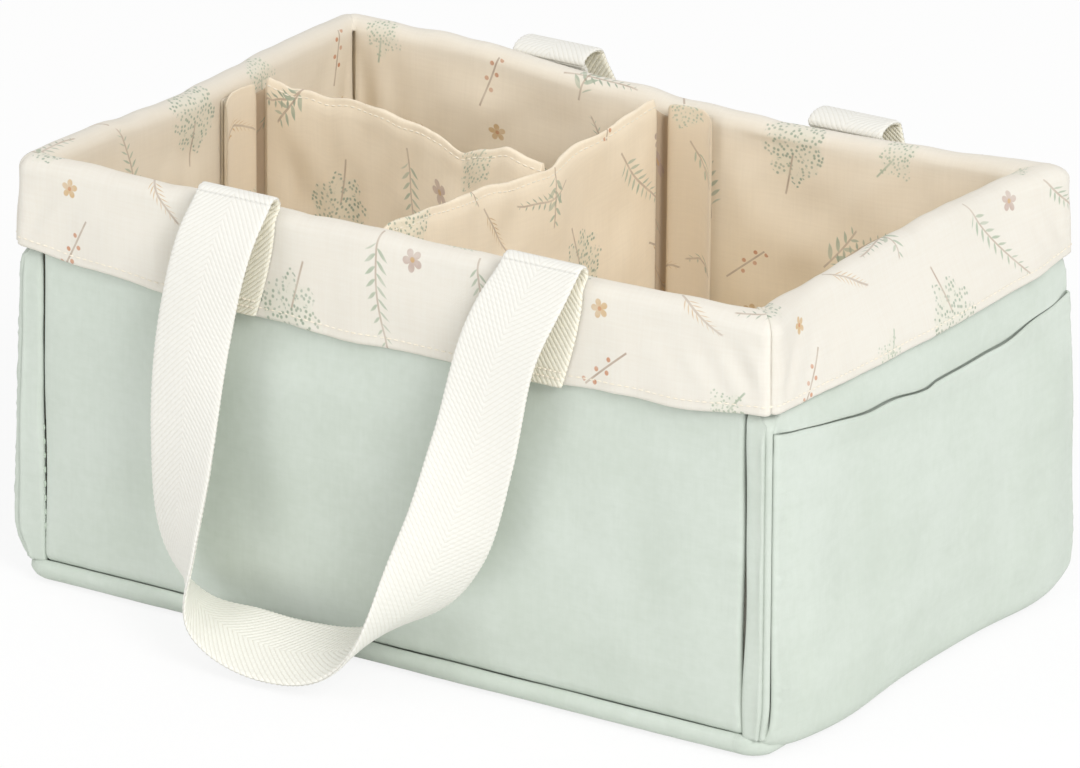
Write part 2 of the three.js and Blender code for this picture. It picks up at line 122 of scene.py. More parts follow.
# How far a fold that arches wider comes down, as a share of its extra width
ARCH_FALL = 0.3
LEG_LEAN = math.radians(30)
LOOP_LOWEST_AT = 0.525
LOOP_TWIST_REACH = 0.42
LOOP_TILT = 0.5
STRAP_PARTS = ("left_tail", "left_fold", "loop", "right_fold", "right_tail")
# Half way along a handle's webbing, in metres
STRAP_MIDDLE = 0.27
# Points of a hanging loop: along the wall, out from it and up
LOOP_ROUTE = [
    (-71, 14, 165), (-78, 19.5, 125), (-80, 22.5, 79), (-80, 25, 41), (-70, 27.5, 20), (-52, 29, 13),
    (-28, 29.5, 10.5), (-1, 29, 16), (26, 27, 37), (43, 24, 68), (54, 19, 108), (62, 14.5, 150),
]
# Places along the dividers, and the heights of their tops there
CROSS_TOPS = (
    (-97, -65, -30, 0, 15, 36, 57, 80, 95),
    (176, 174.5, 171, 168, 167.3, 169, 171.3, 173.3, 175),
)
LONG_TOPS = (
    (-156, -126, -106, -76, -64, -54, -45, -33, -16),
    (174, 173, 173, 171, 168, 165, 169, 172, 168.5),
)
# Pitch, length and width of the stitches, in metres
FINE_STITCH = (0.0032, 0.0024, 0.00055)
TACK_STITCH = (0.0022, 0.0021, 0.0008)
LONG_STITCH = (0.0056, 0.003, 0.0009)
# Where the sage pieces lie on the flat cloth
PANEL_CLOTH_STEP = 500.0
STRIP_CLOTH = 900.0
STRIP_CLOTH_STEP = 70.0
BASE_CLOTH = 2400.0
# Where the printed pieces lie on the flat cloth: the walls one after another, the floor and the dividers
WALL_CLOTH = 1000.0
WALL_CLOTH_STEP = 437.0
WALL_CLOTH_END = 2700.0
FLOOR_CLOTH = 3000.0
CROSS_CLOTH = 5000.0
LONG_CLOTH = 5600.0

# The four walls.
# span: its length. reach: how far its face is from the middle. turn: quarter turns from the front.
# sag: how much lower its hem hangs half way along. sink and dip: how far its rim has sunk, and where most.
# lean: how far its rim leans in. loose: how freely its cuff hangs. seed: for its irregular waves.
# drawn and web: how far the cuff is drawn in, and the inside rounded off, at its two corners.
# tape: where along it a divider's tab lies, from its middle.
# arch, on long walls: how much wider than round the handle's folds are.
# bulge, surge and slump, on ends: how far the corners and the foot swell out, and the far corner leans in.
WALLS = {
    "front": {"span": 350.0, "reach": 115.0, "turn": 0, "sag": 7.0, "sink": 0.0, "dip": 0.0, "lean": 0.0,
              "loose": 1.0, "drawn": (0.0, 0.0), "web": (0.0, 6.0), "arch": 0.0, "tape": 2.0, "seed": 11},
    "right_end": {"span": 230.0, "reach": 175.0, "turn": 1, "sag": 1.0, "sink": 0.0, "dip": 0.0, "lean": 11.0,
                  "loose": 0.45, "drawn": (0.0, 2.0), "web": (6.0, 8.0), "bulge": 0.8, "surge": 4.5,
                  "slump": 3.2, "tape": None, "seed": 23},
    "back": {"span": 350.0, "reach": 115.0, "turn": 2, "sag": 7.0, "sink": 8.0, "dip": -35.0, "lean": 0.0,
             "loose": 1.0, "drawn": (2.0, 0.8), "web": (8.0, 0.0), "arch": 9.0, "tape": -2.0, "seed": 37},
    "left_end": {"span": 230.0, "reach": 175.0, "turn": 3, "sag": 1.0, "sink": 2.0, "dip": 0.0, "lean": 0.0,
                 "loose": 0.6, "drawn": (0.8, 0.0), "web": (0.0, 0.0), "bulge": 4.5, "surge": 0.0,
                 "slump": 0.0, "tape": -17.5, "seed": 41},
}
LONG_WALLS = ("front", "back")


# Small helpers for shapes
def ease(value, low, high):
    """0 up to the low value, 1 from the high one, and a smooth step between."""
    share = np.clip((np.asarray(value, float) - low) / (high - low), 0, 1)
    return share * share * (3 - 2 * share)


def bell(value, reach):
    return np.exp(-((value / reach) ** 2))


def rounded(distance, reach):
    """0 at an edge and 1 beyond its reach, along a quarter of a circle."""
    return np.sqrt(np.maximum(0, 1 - (1 - np.clip(distance / reach, 0, 1)) ** 2))


def drift(seed, along, across, length):
    """Soft irregular waves, about -1 to 1, over two coordinates in millimetres."""
    draw = np.random.default_rng(seed)
    total = 0
    for _ in range(8):
        heading = draw.uniform(0, 2 * math.pi)
        size = length * draw.uniform(0.65, 1.6)
        phase = draw.uniform(0, 2 * math.pi)
        way = np.asarray(along) * math.cos(heading) + np.asarray(across) * math.sin(heading)
        total = total + np.sin(2 * math.pi * way / size + phase)
    return total / 3.2


def puckers(seed, along, length):
    """Uneven gathers along a seam, 0 to 1, with narrow valleys."""
    sway = 0.35 * length * drift(seed, along, 0, 5 * length)
    strength = 0.55 + 0.45 * drift(seed + 1, along, 0, 4 * length)
    return np.clip(strength, 0.1, 1) * np.abs(np.sin(math.pi * (along + sway) / length))


def gathered(seed, along, length, edge, reach, start):
    """Puckers that begin a little way in from an edge and fade away from it."""
    return (puckers(seed, along, length) - 0.4) * np.exp(-edge / reach) * ease(edge, 0, start)


def unit(vectors):
    return vectors / np.maximum(np.linalg.norm(vectors, axis=-1, keepdims=True), 1e-9)


def distances(points):
    """How far each point lies along the line through them all."""
    return np.concatenate([[0], np.cumsum(np.linalg.norm(np.diff(points, axis=0), axis=1))])


def resampled(points, run, places):
    return np.stack([np.interp(places, run, points[:, k]) for k in range(3)], axis=1)


def between(first, second, share):
    return first + (second - first) * share


def turned(points, quarter_turns):
    """Points of a wall that faces the front, turned to where the wall stands."""
    x, y, z = np.moveaxis(np.asarray(points, float), -1, 0)
    for _ in range(quarter_turns):
        x, y = -y, x
    return np.stack([x, y, z], axis=-1)


def edge_spaced(length, step, edge):
    """Positions along a length, close together near both ends and about a step apart between."""
    near = np.array([0, 0.06, 0.16, 0.32, 0.55, 0.8]) * edge
    middle = np.linspace(edge, length - edge, max(3, round((length - 2 * edge) / step) + 1))
    return np.concatenate([near, middle, length - near[::-1]])


def normals_of(grid):
    return unit(np.cross(np.gradient(grid, axis=0), np.gradient(grid, axis=1)))


def grid_faces(rows, columns, start=0):
    row, column = np.meshgrid(np.arange(rows - 1), np.arange(columns - 1), indexing="ij")
    first = start + row * columns + column
    return np.stack([first, first + columns, first + columns + 1, first + 1], axis=-1).reshape(-1, 4)


def make_piece(name, points, faces, cloth_place, material):
    """A smooth mesh object from points and a place on the cloth for each, both in millimetres."""
    mesh = bpy.data.meshes.new(name)
    mesh.from_pydata((np.asarray(points) * MILLIMETRE).tolist(), [], [list(map(int, face)) for face in faces])
    mesh.polygons.foreach_set("use_smooth", np.ones(len(mesh.polygons), bool))
    corners = np.empty(len(mesh.loops), np.int32)
    mesh.loops.foreach_get("vertex_index", corners)
    layer = mesh.uv_layers.new(name="cloth")
    layer.data.foreach_set("uv", (np.asarray(cloth_place)[corners] * MILLIMETRE).astype(np.float32).ravel())
    mesh.materials.append(material)
    piece = bpy.data.objects.new(name, mesh)
    bpy.context.scene.collection.objects.link(piece)
    return piece


def make_cloth(name, grid, cloth_place, thickness, material, flip=False):
    """A sheet with a rounded edge: its outer face is the grid, and its thickness goes in behind it."""
    if flip:
        grid = grid[::-1]
        cloth_place = cloth_place[::-1]
    rows, columns = grid.shape[:2]
    count = rows * columns
    at = np.arange(count).reshape(rows, columns)
    border = np.concatenate([at[:, 0], at[-1, 1:], at[-2::-1, -1], at[0, -2:0:-1]])
    inset = at.copy()
    inset[0], inset[-1] = at[1], at[-2]
    inset[:, 0], inset[:, -1] = inset[:, 1], inset[:, -2]
    front = grid.reshape(-1, 3)
    behind = (grid - normals_of(grid) * thickness).reshape(-1, 3)
    outward = unit(front[border] - front[inset.reshape(-1)[border]])
    edge = (front[border] + behind[border]) / 2 + outward * thickness * 0.4
    place = cloth_place.reshape(-1, 2)
    place = np.concatenate([place, place, place[border]])
    here = np.arange(len(border))
    after = np.roll(here, -1)
    rim = 2 * count + here
    rim_after = 2 * count + after
    faces = np.concatenate([
        grid_faces(rows, columns),
        grid_faces(rows, columns, count)[:, ::-1],
        np.stack([border[after], border, rim, rim_after], axis=1),
        np.stack([rim_after, rim, count + border, count + border[after]], axis=1),
    ])
    return make_piece(name, np.concatenate([front, behind, edge]), faces, place, material)


def make_wall_cloth(name, wall, x, out, z, shift, thickness, material):
    """A cloth that stands out from the face of a wall; its cloth places are shifted along."""
    grid = turned(np.stack([x, -wall["reach"] - out, z], axis=-1), wall["turn"])
    return make_cloth(name, grid, np.stack([x + shift, z], axis=-1), thickness, material)


def make_tube(name, rings, cloth_place, material):
    """A skin over rings of equally many points, closed with a flat cap at both ends."""
    count, around = rings.shape[:2]
    row, column = np.meshgrid(np.arange(count - 1), np.arange(around), indexing="ij")
    here = row * around + column
    after = row * around + (column + 1) % around
    faces = np.stack([here, after, after + around, here + around], axis=-1).reshape(-1, 4).tolist()
    faces.append(list(range(around))[::-1])
    faces.append(list(range((count - 1) * around, count * around)))
    piece = make_piece(name, rings.reshape(-1, 3), faces, cloth_place.reshape(-1, 2), material)
    for cap in (-1, -2):
        piece.data.polygons[cap].use_smooth = False
    return piece


# Small helpers for node trees
def set_inputs(tree, node, inputs):
    """Join a node's inputs to other nodes, or set them to constants."""
    for name, value in inputs.items():
        if isinstance(value, Term):
            value = value.socket
        if isinstance(value, bpy.types.NodeSocket):
            tree.links.new(value, node.inputs[name])
        else:
            node.inputs[name].default_value = value


def add_node(tree, kind, inputs=None, **settings):
    node = tree.nodes.new(kind)
    for name, value in settings.items():
        setattr(node, name, value)
    set_inputs(tree, node, inputs or {})
    return node


def add_term(tree, kind, inputs, output=0, **settings):
    """A node, of which only one output is used."""
    return Term(tree, add_node(tree, kind, inputs, **settings).outputs[output])


class Term:
    """A value in a node tree. Sums, products and the like of terms become math nodes."""

    def __init__(self, tree, socket):
        self.tree = tree
        self.socket = socket

    def math(self, operation, other=0.0, clamp=False):
        inputs = {0: self, 1: other}
        return add_term(self.tree, "ShaderNodeMath", inputs, operation=operation, use_clamp=clamp)

    def __add__(self, other):
        return self.math("ADD", other)

    def __sub__(self, other):
        return self.math("SUBTRACT", other)

    def __mul__(self, other):
        return self.math("MULTIPLY", other)

    def __truediv__(self, other):
        return self.math("DIVIDE", other)

    def __rsub__(self, other):
        return add_term(self.tree, "ShaderNodeMath", {0: other, 1: self}, operation="SUBTRACT")

    def __abs__(self):
        return self.math("ABSOLUTE")

    def step(self, low, high, start=0.0, stop=1.0):
        """A smooth step from start to stop as this goes from low to high."""
        inputs = {0: self, 1: low, 2: high, 3: start, 4: stop}
        return add_term(self.tree, "ShaderNodeMapRange", inputs, interpolation_type="SMOOTHSTEP")

    def within(self, middle, reach):
        """1 within reach of a middle value, else 0."""
        inputs = {0: self, 1: middle, 2: reach}
        return add_term(self.tree, "ShaderNodeMath", inputs, operation="COMPARE")

    def mix(self, first, second):
        """From the first colour to the second as this goes from 0 to 1."""
        return add_term(self.tree, "ShaderNodeMix", {0: self, 6: first, 7: second}, 2, data_type="RGBA")

    def parts(self):
        node = add_node(self.tree, "ShaderNodeSeparateXYZ", {0: self})
        return Term(self.tree, node.outputs[0]), Term(self.tree, node.outputs[1])

    def length(self):
        return add_term(self.tree, "ShaderNodeVectorMath", {0: self}, 1, operation="LENGTH")

    def noise(self, scale, detail=2.0):
        return add_term(self.tree, "ShaderNodeTexNoise", {"Vector": self, "Scale": scale, "Detail": detail})


def join(x, y):
    return add_term(x.tree, "ShaderNodeCombineXYZ", {0: x, 1: y})


FLOAT = "NodeSocketFloat"
VECTOR = "NodeSocketVector"
COLOUR = "NodeSocketColor"


def start_group(name, place, numbers, outputs, kind=FLOAT):
    """A shader group with a place, numbers with their usual values, and outputs of one kind."""
    group = bpy.data.node_groups.new(name, "ShaderNodeTree")
    group.interface.new_socket(place, in_out="INPUT", socket_type=VECTOR)
    for label, value in numbers.items():
        group.interface.new_socket(label, in_out="INPUT", socket_type=FLOAT).default_value = value
    for label in outputs:
        group.interface.new_socket(label, in_out="OUTPUT", socket_type=kind)
    entry = group.nodes.new("NodeGroupInput")
    given = {label: Term(group, entry.outputs[label]) for label in (place, *numbers)}
    return group, given


def finish_group(group, **results):
    set_inputs(group, group.nodes.new("NodeGroupOutput"), results)
    return group


def use_group(tree, group, **inputs):
    node = tree.nodes.new("ShaderNodeGroup")
    node.node_tree = group
    set_inputs(tree, node, inputs)
    return {socket.name: Term(tree, socket) for socket in node.outputs}


def from_screen(red, green, blue):
    """A colour as seen on a screen, 0 to 255, as a linear one."""
    def linear(level):
        level /= 255
        return level / 12.92 if level <= 0.04045 else ((level + 0.055) / 1.055) ** 2.4
    return (linear(red), linear(green), linear(blue), 1.0)


# Shared effects of the cloths
def make_plain_weave():
    """Warp and weft threads that pass over and under each other, and their slubs."""
    group, given = start_group("plain weave", "Place", {"Thread": 0.0005}, ("Height", "Slub"))
    x, y = given["Place"].parts()
    warp_count = x / given["Thread"]
    weft_count = y / given["Thread"]
    cell = warp_count.math("FLOOR") + weft_count.math("FLOOR")
    over = (cell * 0.5).math("FRACT") * 2.0
    warp = abs((warp_count * math.pi).math("SINE"))
    weft = abs((weft_count * math.pi).math("SINE"))
    height = add_term(group, "ShaderNodeMix", {0: over, 2: weft, 3: warp})
    warp_slub = join(x * 900.0, y * 45.0).noise(1.0, 1.0)
    weft_slub = join(x * 45.0, y * 900.0).noise(1.0, 1.0)
    return finish_group(group, Height=height, Slub=(warp_slub + weft_slub) * 0.5)


def make_mottle():
    """Slow changes of tone over a cloth, as dye and handling leave."""
    group, given = start_group("mottle", "Place", {}, ("Tone",))
    broad = given["Place"].noise(22.0, 3.0)
    fine = given["Place"].noise(260.0)
    return finish_group(group, Tone=broad * 0.7 + fine * 0.3)


def make_herringbone():
    """Ribs of a webbing that change direction from one lengthwise stripe to the next."""
    numbers = {"Pitch": 0.0026, "Stripe": 0.0175, "Slope": 1.1, "Yarn": 0.0009}
    group, given = start_group("herringbone", "Place", numbers, ("Height", "Valley"))
    x, y = given["Place"].parts()
    zigzag = (x + given["Stripe"]).math("PINGPONG", given["Stripe"])
    phase = (y + zigzag * given["Slope"]) / given["Pitch"]
    rib = abs((phase * math.pi).math("SINE"))
    yarn = (x / given["Yarn"] * (2 * math.pi)).math("SINE")
    return finish_group(group, Height=yarn * 0.12 + rib, Valley=rib.step(0.0, 0.45, 1.0, 0.0))


# The printed pattern of the lining, drawn in millimetres on the flat cloth
TILE_WIDTH = 124.0
TILE_HEIGHT = 102.0
PRINT_SCALE = 0.84
SOFT_EDGE = 0.6


def make_motif_place():
    """The place measured from the nearest repeat of a motif, turned a little differently at each repeat."""
    numbers = {"Across": 0.0, "Up": 0.0, "Turn": 0.0}
    group, given = start_group("motif place", "Place", numbers, ("Local",), VECTOR)
    x, y = given["Place"].parts()
    x = x - given["Across"] + TILE_WIDTH / 2
    y = y - given["Up"] + TILE_HEIGHT / 2
    column = (x / TILE_WIDTH).math("FLOOR")
    y = column * (TILE_HEIGHT / 2) + y
    row = (y / TILE_HEIGHT).math("FLOOR")
    local = join(column * -TILE_WIDTH + (x - TILE_WIDTH / 2), row * -TILE_HEIGHT + (y - TILE_HEIGHT / 2))
    luck = add_term(group, "ShaderNodeTexWhiteNoise", {"Vector": join(column, row)}, noise_dimensions="2D")
    angle = (luck - 0.5) * 0.9 + given["Turn"]
    inputs = {"Vector": local, "Angle": angle}
    swung = add_term(group, "ShaderNodeVectorRotate", inputs, rotation_type="Z_AXIS")
    return finish_group(group, Local=swung)


def make_paired_leaves():
    """A bent stem with leaves on both sides by turns."""
    numbers = {"Length": 50.0, "Pitch": 6.0, "Leaf": 8.0, "Fullness": 1.6, "Slant": 0.7, "Bend": 0.006}
    group, given = start_group("paired leaves", "Local", numbers, ("Leaves", "Stem"))
    x, y = given["Local"].parts()
    along = given["Length"] * 0.5 + y
    aside = x - along * along * given["Bend"]
    side = abs(aside)
    by_turns = aside.math("GREATER_THAN") * 0.5
    root = along - side * given["Slant"]
    step = root / given["Pitch"] + by_turns
    offset = abs((step.math("FRACT") - 0.5) * given["Pitch"])
    share = root / given["Length"]
    taper = 1.0 - share * share * 0.62
    out = side.math("DIVIDE", given["Leaf"] * taper, clamp=True)
    belly = (out.math("POWER", 0.8) * math.pi).math("SINE") * taper * given["Fullness"]
    leaf = (belly - offset).step(0.0, SOFT_EDGE)
    on_stem = share.step(0.13, 0.15) * share.step(1.0, 0.98)
    whole = along.step(0.0, 0.6) * (given["Length"] - along).step(-1.0, 0.5)
    return finish_group(group, Leaves=leaf * on_stem, Stem=side.step(0.6, 0.25) * whole)


def make_dotted_head():
    """A round seed head of small dots over a pale wash, on a stalk."""
    numbers = {"Radius": 16.0, "Spacing": 3.0}
    group, given = start_group("dotted head", "Local", numbers, ("Dots", "Wash", "Stalk"))
    local = given["Local"]
    x, y = local.parts()
    fineness = add_term(group, "ShaderNodeMath", {0: 1.0, 1: given["Spacing"]}, operation="DIVIDE")
    inputs = {"Vector": local, "Scale": fineness, "Randomness": 0.75}
    cells = add_term(group, "ShaderNodeTexVoronoi", inputs, voronoi_dimensions="2D")
    ragged = local.noise(0.13) * 16.0 + local.length()
    inside = given["Radius"] - (ragged - 8.0)
    dots = cells.step(0.42, 0.16) * local.noise(0.21).step(0.4, 0.5) * inside.step(0.0, 1.0)
    low = given["Radius"] * 1.5 + y
    stalk = abs(x).step(0.7, 0.15) * y.step(-2.0, -4.0) * low.step(0.0, 1.0)
    return finish_group(group, Dots=dots, Wash=inside.step(-1.0, 4.0), Stalk=stalk)


def make_petal_flower():
    """A small open flower of five petals."""
    group, given = start_group("petal flower", "Local", {"Radius": 7.0}, ("Petals", "Heart"))
    x, y = given["Local"].parts()
    far = given["Local"].length()
    lobe = abs((y.math("ARCTAN2", x) * 2.5).math("COSINE"))
    rim = (lobe.math("POWER", 0.6) * 0.62 + 0.38) * given["Radius"]
    heart = given["Radius"] * 0.26 - far
    return finish_group(group, Petals=(rim - far).step(0.0, 0.5), Heart=heart.step(0.0, 0.4))


def make_berry_sprig():
    """A thin stem with round berries on both sides by turns."""
    numbers = {"Length": 24.0, "Pitch": 3.6, "Berry": 1.15}
    group, given = start_group("berry sprig", "Local", numbers, ("Berries", "Stem"))
    x, y = given["Local"].parts()
    along = given["Length"] * 0.5 + y
    left = given["Length"] - along
    step = along / given["Pitch"]
    turn = step.math("FLOOR").math("PINGPONG", 1.0) * 3.6 - 1.8
    far = join(x - turn, (step.math("FRACT") - 0.5) * given["Pitch"]).length()
    on_stem = along.step(8.0, 8.2) * left.step(0.0, 0.2)
    berries = (given["Berry"] - far).step(0.0, 0.4) * on_stem
    whole = along.step(0.0, 0.5) * left.step(0.0, 0.5)
    return finish_group(group, Berries=berries, Stem=abs(x).step(0.55, 0.25) * whole)


SAGE_INK = from_screen(168, 182, 160)
DEEP_SAGE_INK = from_screen(142, 160, 140)
PALE_SAGE_INK = from_screen(214, 219, 199)
OCHRE_INK = from_screen(206, 168, 110)
MAUVE_INK = from_screen(190, 166, 156)
RUST_INK = from_screen(200, 132, 90)
BARK_INK = from_screen(176, 154, 136)
# Ground colours of the lining, painted lit or shaded according to where they lie
SHADED_LOW_CREAM = from_screen(245, 229, 201)
LIT_UPPER_CREAM = from_screen(247, 235, 214)
LIT_CUFF_CREAM = from_screen(235, 231, 221)
LIT_DIVIDER_AND_FLOOR_CREAM = from_screen(251, 237, 213)
SHADED_CREAM = from_screen(150, 112, 66)
SLUB_CREAM = from_screen(214, 199, 176)
BLACK = from_screen(0, 0, 0)


def lining_ground_and_shade(x, y):
    """The lining's ground colour at a place on the flat cloth, with painted light and shade."""
    on_wall = x.math("LESS_THAN", WALL_CLOTH_END)
    # Painted light and shade: the cloth over the rim and cuff is paler, the inside is painted warmer and
    # darker towards its foot, and the dividers and floor are painted lighter against their shade
    lit_outside = y.step(164.0, 190.0) * on_wall
    wall_ground_and_shade = y.step(90.0, 168.0).mix(SHADED_LOW_CREAM, LIT_UPPER_CREAM)
    colour = lit_outside.mix(on_wall.mix(LIT_DIVIDER_AND_FLOOR_CREAM, wall_ground_and_shade), LIT_CUFF_CREAM)
    # Painted shade: the ends' cloth is a shade deeper, the left end most, to take down the key light on their
    # insides
    right_end = x.within(WALL_CLOTH + WALL_CLOTH_STEP * WALLS["right_end"]["turn"], 125.0)
    left_end = x.within(WALL_CLOTH + WALL_CLOTH_STEP * WALLS["left_end"]["turn"], 125.0)
    colour = (left_end * 0.08 + right_end * 0.04).mix(colour, BLACK)
    # Painted shade darkens the dividers' tabs too, most in the folds behind the dividers' edges, where they
    # lie in deep recesses
    for tab, fold in [
        (CROSS_CLOTH + 10.0, CROSS_CLOTH + 25.9), (CROSS_CLOTH + 250.3, CROSS_CLOTH + 234.5),
        (LONG_CLOTH + 10.0, LONG_CLOTH + 25.9),
    ]:
        colour = (x.within(tab, 10.2) * 0.15).mix(colour, SHADED_CREAM)
        colour = (x.within(fold, 5.6) * 0.5).mix(colour, SHADED_CREAM)
    return colour


def make_meadow_print():
    """Sprigs, seed heads, flowers and berries scattered over cream cloth."""
    group, given = start_group("meadow print", "Place", {}, ("Color",), COLOUR)
    spot = make_motif_place()
    leaves = make_paired_leaves()
    head = make_dotted_head()
    flower = make_petal_flower()
    berry = make_berry_sprig()
    flat = add_term(group, "ShaderNodeVectorMath", {0: given["Place"], 3: 1000.0}, operation="SCALE")
    wet = flat.noise(0.12, 3.0).step(0.3, 0.7, 0.6, 1.0)
    # Its ground carries painted light and shade
    colour = lining_ground_and_shade(*flat.parts())

    def local(across, up, turn):
        across, up = PRINT_SCALE * across, PRINT_SCALE * up
        return use_group(group, spot, Place=flat, Across=across, Up=up, Turn=turn)["Local"]

    def print_motif(colour, motif, inks):
        for part, shade, strength in inks:
            colour = (motif[part] * wet * strength).mix(colour, shade)
        return colour

    for at, radius, spacing, wash, stalk, dots in [
        ((-42, 22, 0.15), 15.0, 2.1, 0.35, BARK_INK, DEEP_SAGE_INK),
        ((48, -34, -0.3), 9.0, 1.7, 0.3, SAGE_INK, SAGE_INK),
    ]:
        tuft = use_group(group, head, Local=local(*at), Radius=radius, Spacing=spacing)
        inks = [("Wash", PALE_SAGE_INK, wash), ("Stalk", stalk, 0.9), ("Dots", dots, 0.95)]
        colour = print_motif(colour, tuft, inks)
    for at, length, pitch, leaf, fullness, slant, bend, shade in [
        ((4, 2, 0.35), 46.0, 4.2, 6.0, 1.25, 0.75, 0.005, SAGE_INK),
        ((72, 36, -0.95), 34.0, 3.6, 4.6, 1.05, 0.7, -0.008, DEEP_SAGE_INK),
        ((30, 44, 0.9), 26.0, 2.8, 3.6, 0.75, 1.5, 0.006, OCHRE_INK),
        ((-70, -28, -0.4), 24.0, 5.4, 6.6, 1.8, 0.8, 0.004, SAGE_INK),
        ((62, -4, 0.5), 30.0, 3.2, 4.4, 1.0, 0.9, 0.008, SAGE_INK),
    ]:
        sprig = use_group(group, leaves, Local=local(*at), Length=length, Pitch=pitch, Leaf=leaf,
                          Fullness=fullness, Slant=slant, Bend=bend)
        colour = print_motif(colour, sprig, [("Stem", BARK_INK, 0.75), ("Leaves", shade, 0.92)])
    twig = use_group(group, berry, Local=local(-16, -46, -0.5))
    colour = print_motif(colour, twig, [("Stem", BARK_INK, 0.9), ("Berries", RUST_INK, 0.95)])
    for at, radius, shade, heart in [
        ((26, -14, 0.0), 4.8, MAUVE_INK, OCHRE_INK),
        ((-20, 50, 0.6), 4.0, OCHRE_INK, RUST_INK),
    ]:
        bloom = use_group(group, flower, Local=local(*at), Radius=radius)
        colour = print_motif(colour, bloom, [("Petals", shade, 0.9), ("Heart", heart, 0.95)])
    return finish_group(group, Color=colour)


# Materials
PLAIN_WEAVE = make_plain_weave()
MOTTLE = make_mottle()
HERRINGBONE = make_herringbone()
MEADOW_PRINT = make_meadow_print()


def start_material(name, roughness, sheen):
    material = bpy.data.materials.new(name)
    material.use_nodes = True
    shader = material.node_tree.nodes["Principled BSDF"]
    shader.inputs["Roughness"].default_value = roughness
    shader.inputs["Specular IOR Level"].default_value = 0.2
    shader.inputs["Sheen Weight"].default_value = sheen
    shader.inputs["Sheen Roughness"].default_value = 0.5
    return material, material.node_tree


def finish_material(material, colour, height, depth):
    tree = material.node_tree
    bump = add_term(tree, "ShaderNodeBump", {"Height": height, "Distance": depth, "Strength": 1.0})
    set_inputs(tree, tree.nodes["Principled BSDF"], {"Base Color": colour, "Normal": bump})
    return material


def place_on_cloth(tree):
    return add_term(tree, "ShaderNodeUVMap", {}, uv_map="cloth")


def make_woven(name, pale, dark, thread, bump):
    """Plain-woven cotton of one colour, with slubs and slow changes of tone."""
    material, tree = start_material(name, 0.88, 0.12)
    place = place_on_cloth(tree)
    weave = use_group(tree, PLAIN_WEAVE, Place=place, Thread=thread)
    tone = use_group(tree, MOTTLE, Place=place)["Tone"]
    share = (weave["Slub"] * 0.2 + tone * 0.8).step(0.3, 0.7)
    return finish_material(material, share.mix(dark, pale), weave["Slub"] * 0.3 + weave["Height"], bump)


def make_printed():
    material, tree = start_material("printed lining cotton", 0.88, 0.12)
    place = place_on_cloth(tree)
    weave = use_group(tree, PLAIN_WEAVE, Place=place, Thread=0.00045)
    tone = use_group(tree, MOTTLE, Place=place)["Tone"]
    picture = use_group(tree, MEADOW_PRINT, Place=place)["Color"]
    share = (weave["Slub"] * 0.8 + tone * 0.6).step(0.45, 0.95, 0.16, 0.0)
    height = weave["Slub"] * 0.8 + weave["Height"]
    return finish_material(material, share.mix(picture, SLUB_CREAM), height, 0.00006)


def make_webbing():
    """Herringbone webbing whose back shows its ribs more; the back is painted paler for light, and creamier
    near the sewn ends for shade.
    """
    material, tree = start_material("herringbone webbing", 0.9, 0.15)
    place = place_on_cloth(tree)
    across, along = place.parts()
    back = across.math("GREATER_THAN", 0.5 * WEBBING_BACK * MILLIMETRE)
    painted_end_shade = back * abs(along - STRAP_MIDDLE).step(0.14, 0.2)
    ribs = use_group(tree, HERRINGBONE, Place=place)
    weave = use_group(tree, PLAIN_WEAVE, Place=place, Thread=0.0007)
    depth = back * 0.2 + 0.35
    share = weave["Slub"] * 0.25 + ribs["Valley"] * depth
    # Painted light: the back face is a paler copy of the front
    pale = back.mix(from_screen(236, 235, 229), from_screen(244, 243, 235))
    dark = back.mix(from_screen(216, 210, 194), from_screen(218, 212, 196))
    # Painted shade: towards the sewn ends the back turns creamier and darker
    pale = painted_end_shade.mix(pale, from_screen(244, 241, 227))
    dark = painted_end_shade.mix(dark, from_screen(212, 201, 168))
    height = (weave["Slub"] * 0.6 + ribs["Height"]) * depth
    return finish_material(material, share.mix(pale, dark), height, 0.0004)


def make_grainy(name, pale, dark, scale, bump, detail=4.0, roughness=0.95, sheen=0.0):
    """Thread, foam, board or tape: a fine grain of two tones."""
    material, tree = start_material(name, roughness, sheen)
    grain = add_term(tree, "ShaderNodeTexCoord", {}, "Object").noise(scale, detail)
    return finish_material(material, grain.mix(dark, pale), grain, bump)


def make_thread(name, pale, dark):
    return make_grainy(name, pale, dark, 900.0, 0.0001, 2.0, 0.7, 0.2)


SAGE_COTTON = make_woven(
    "sage cotton", from_screen(207, 215, 206), from_screen(197, 206, 195), 0.0005, 0.00003)
PRINTED_COTTON = make_printed()
WEBBING = make_webbing()
CREAM_THREAD = make_thread("cream thread", from_screen(247, 241, 228), from_screen(232, 222, 202))
SAGE_THREAD = make_thread("sage thread", from_screen(198, 210, 195), from_screen(176, 190, 173))
FOAM = make_grainy("foam", from_screen(240, 237, 228), from_screen(220, 215, 203), 1400.0, 0.0004)
BOARD = make_grainy("stiff board", from_screen(150, 142, 128), from_screen(122, 114, 102), 500.0, 0.0002)
TAPE = make_grainy(
    "hook and loop tape", from_screen(240, 231, 214), from_screen(216, 204, 182), 2600.0, 0.0006)


# How the walls stand
def is_long(wall):
    """Whether a wall is one of the two long ones, which carry the handles."""
    return "arch" in wall


def hem_drop(wall, share):
    return wall["sag"] * (1 - np.clip(np.abs(share), 0, 1) ** 2)


def near_tails(wall, along):
    """1 where a handle's end is sewn on the cuff of a long wall, fading to 0 beside it."""
    if not is_long(wall):
        return np.zeros_like(along)
    return 1 - ease(np.abs(np.abs(along - 0.5) - HANDLE_SPREAD / 2), 23, 36)


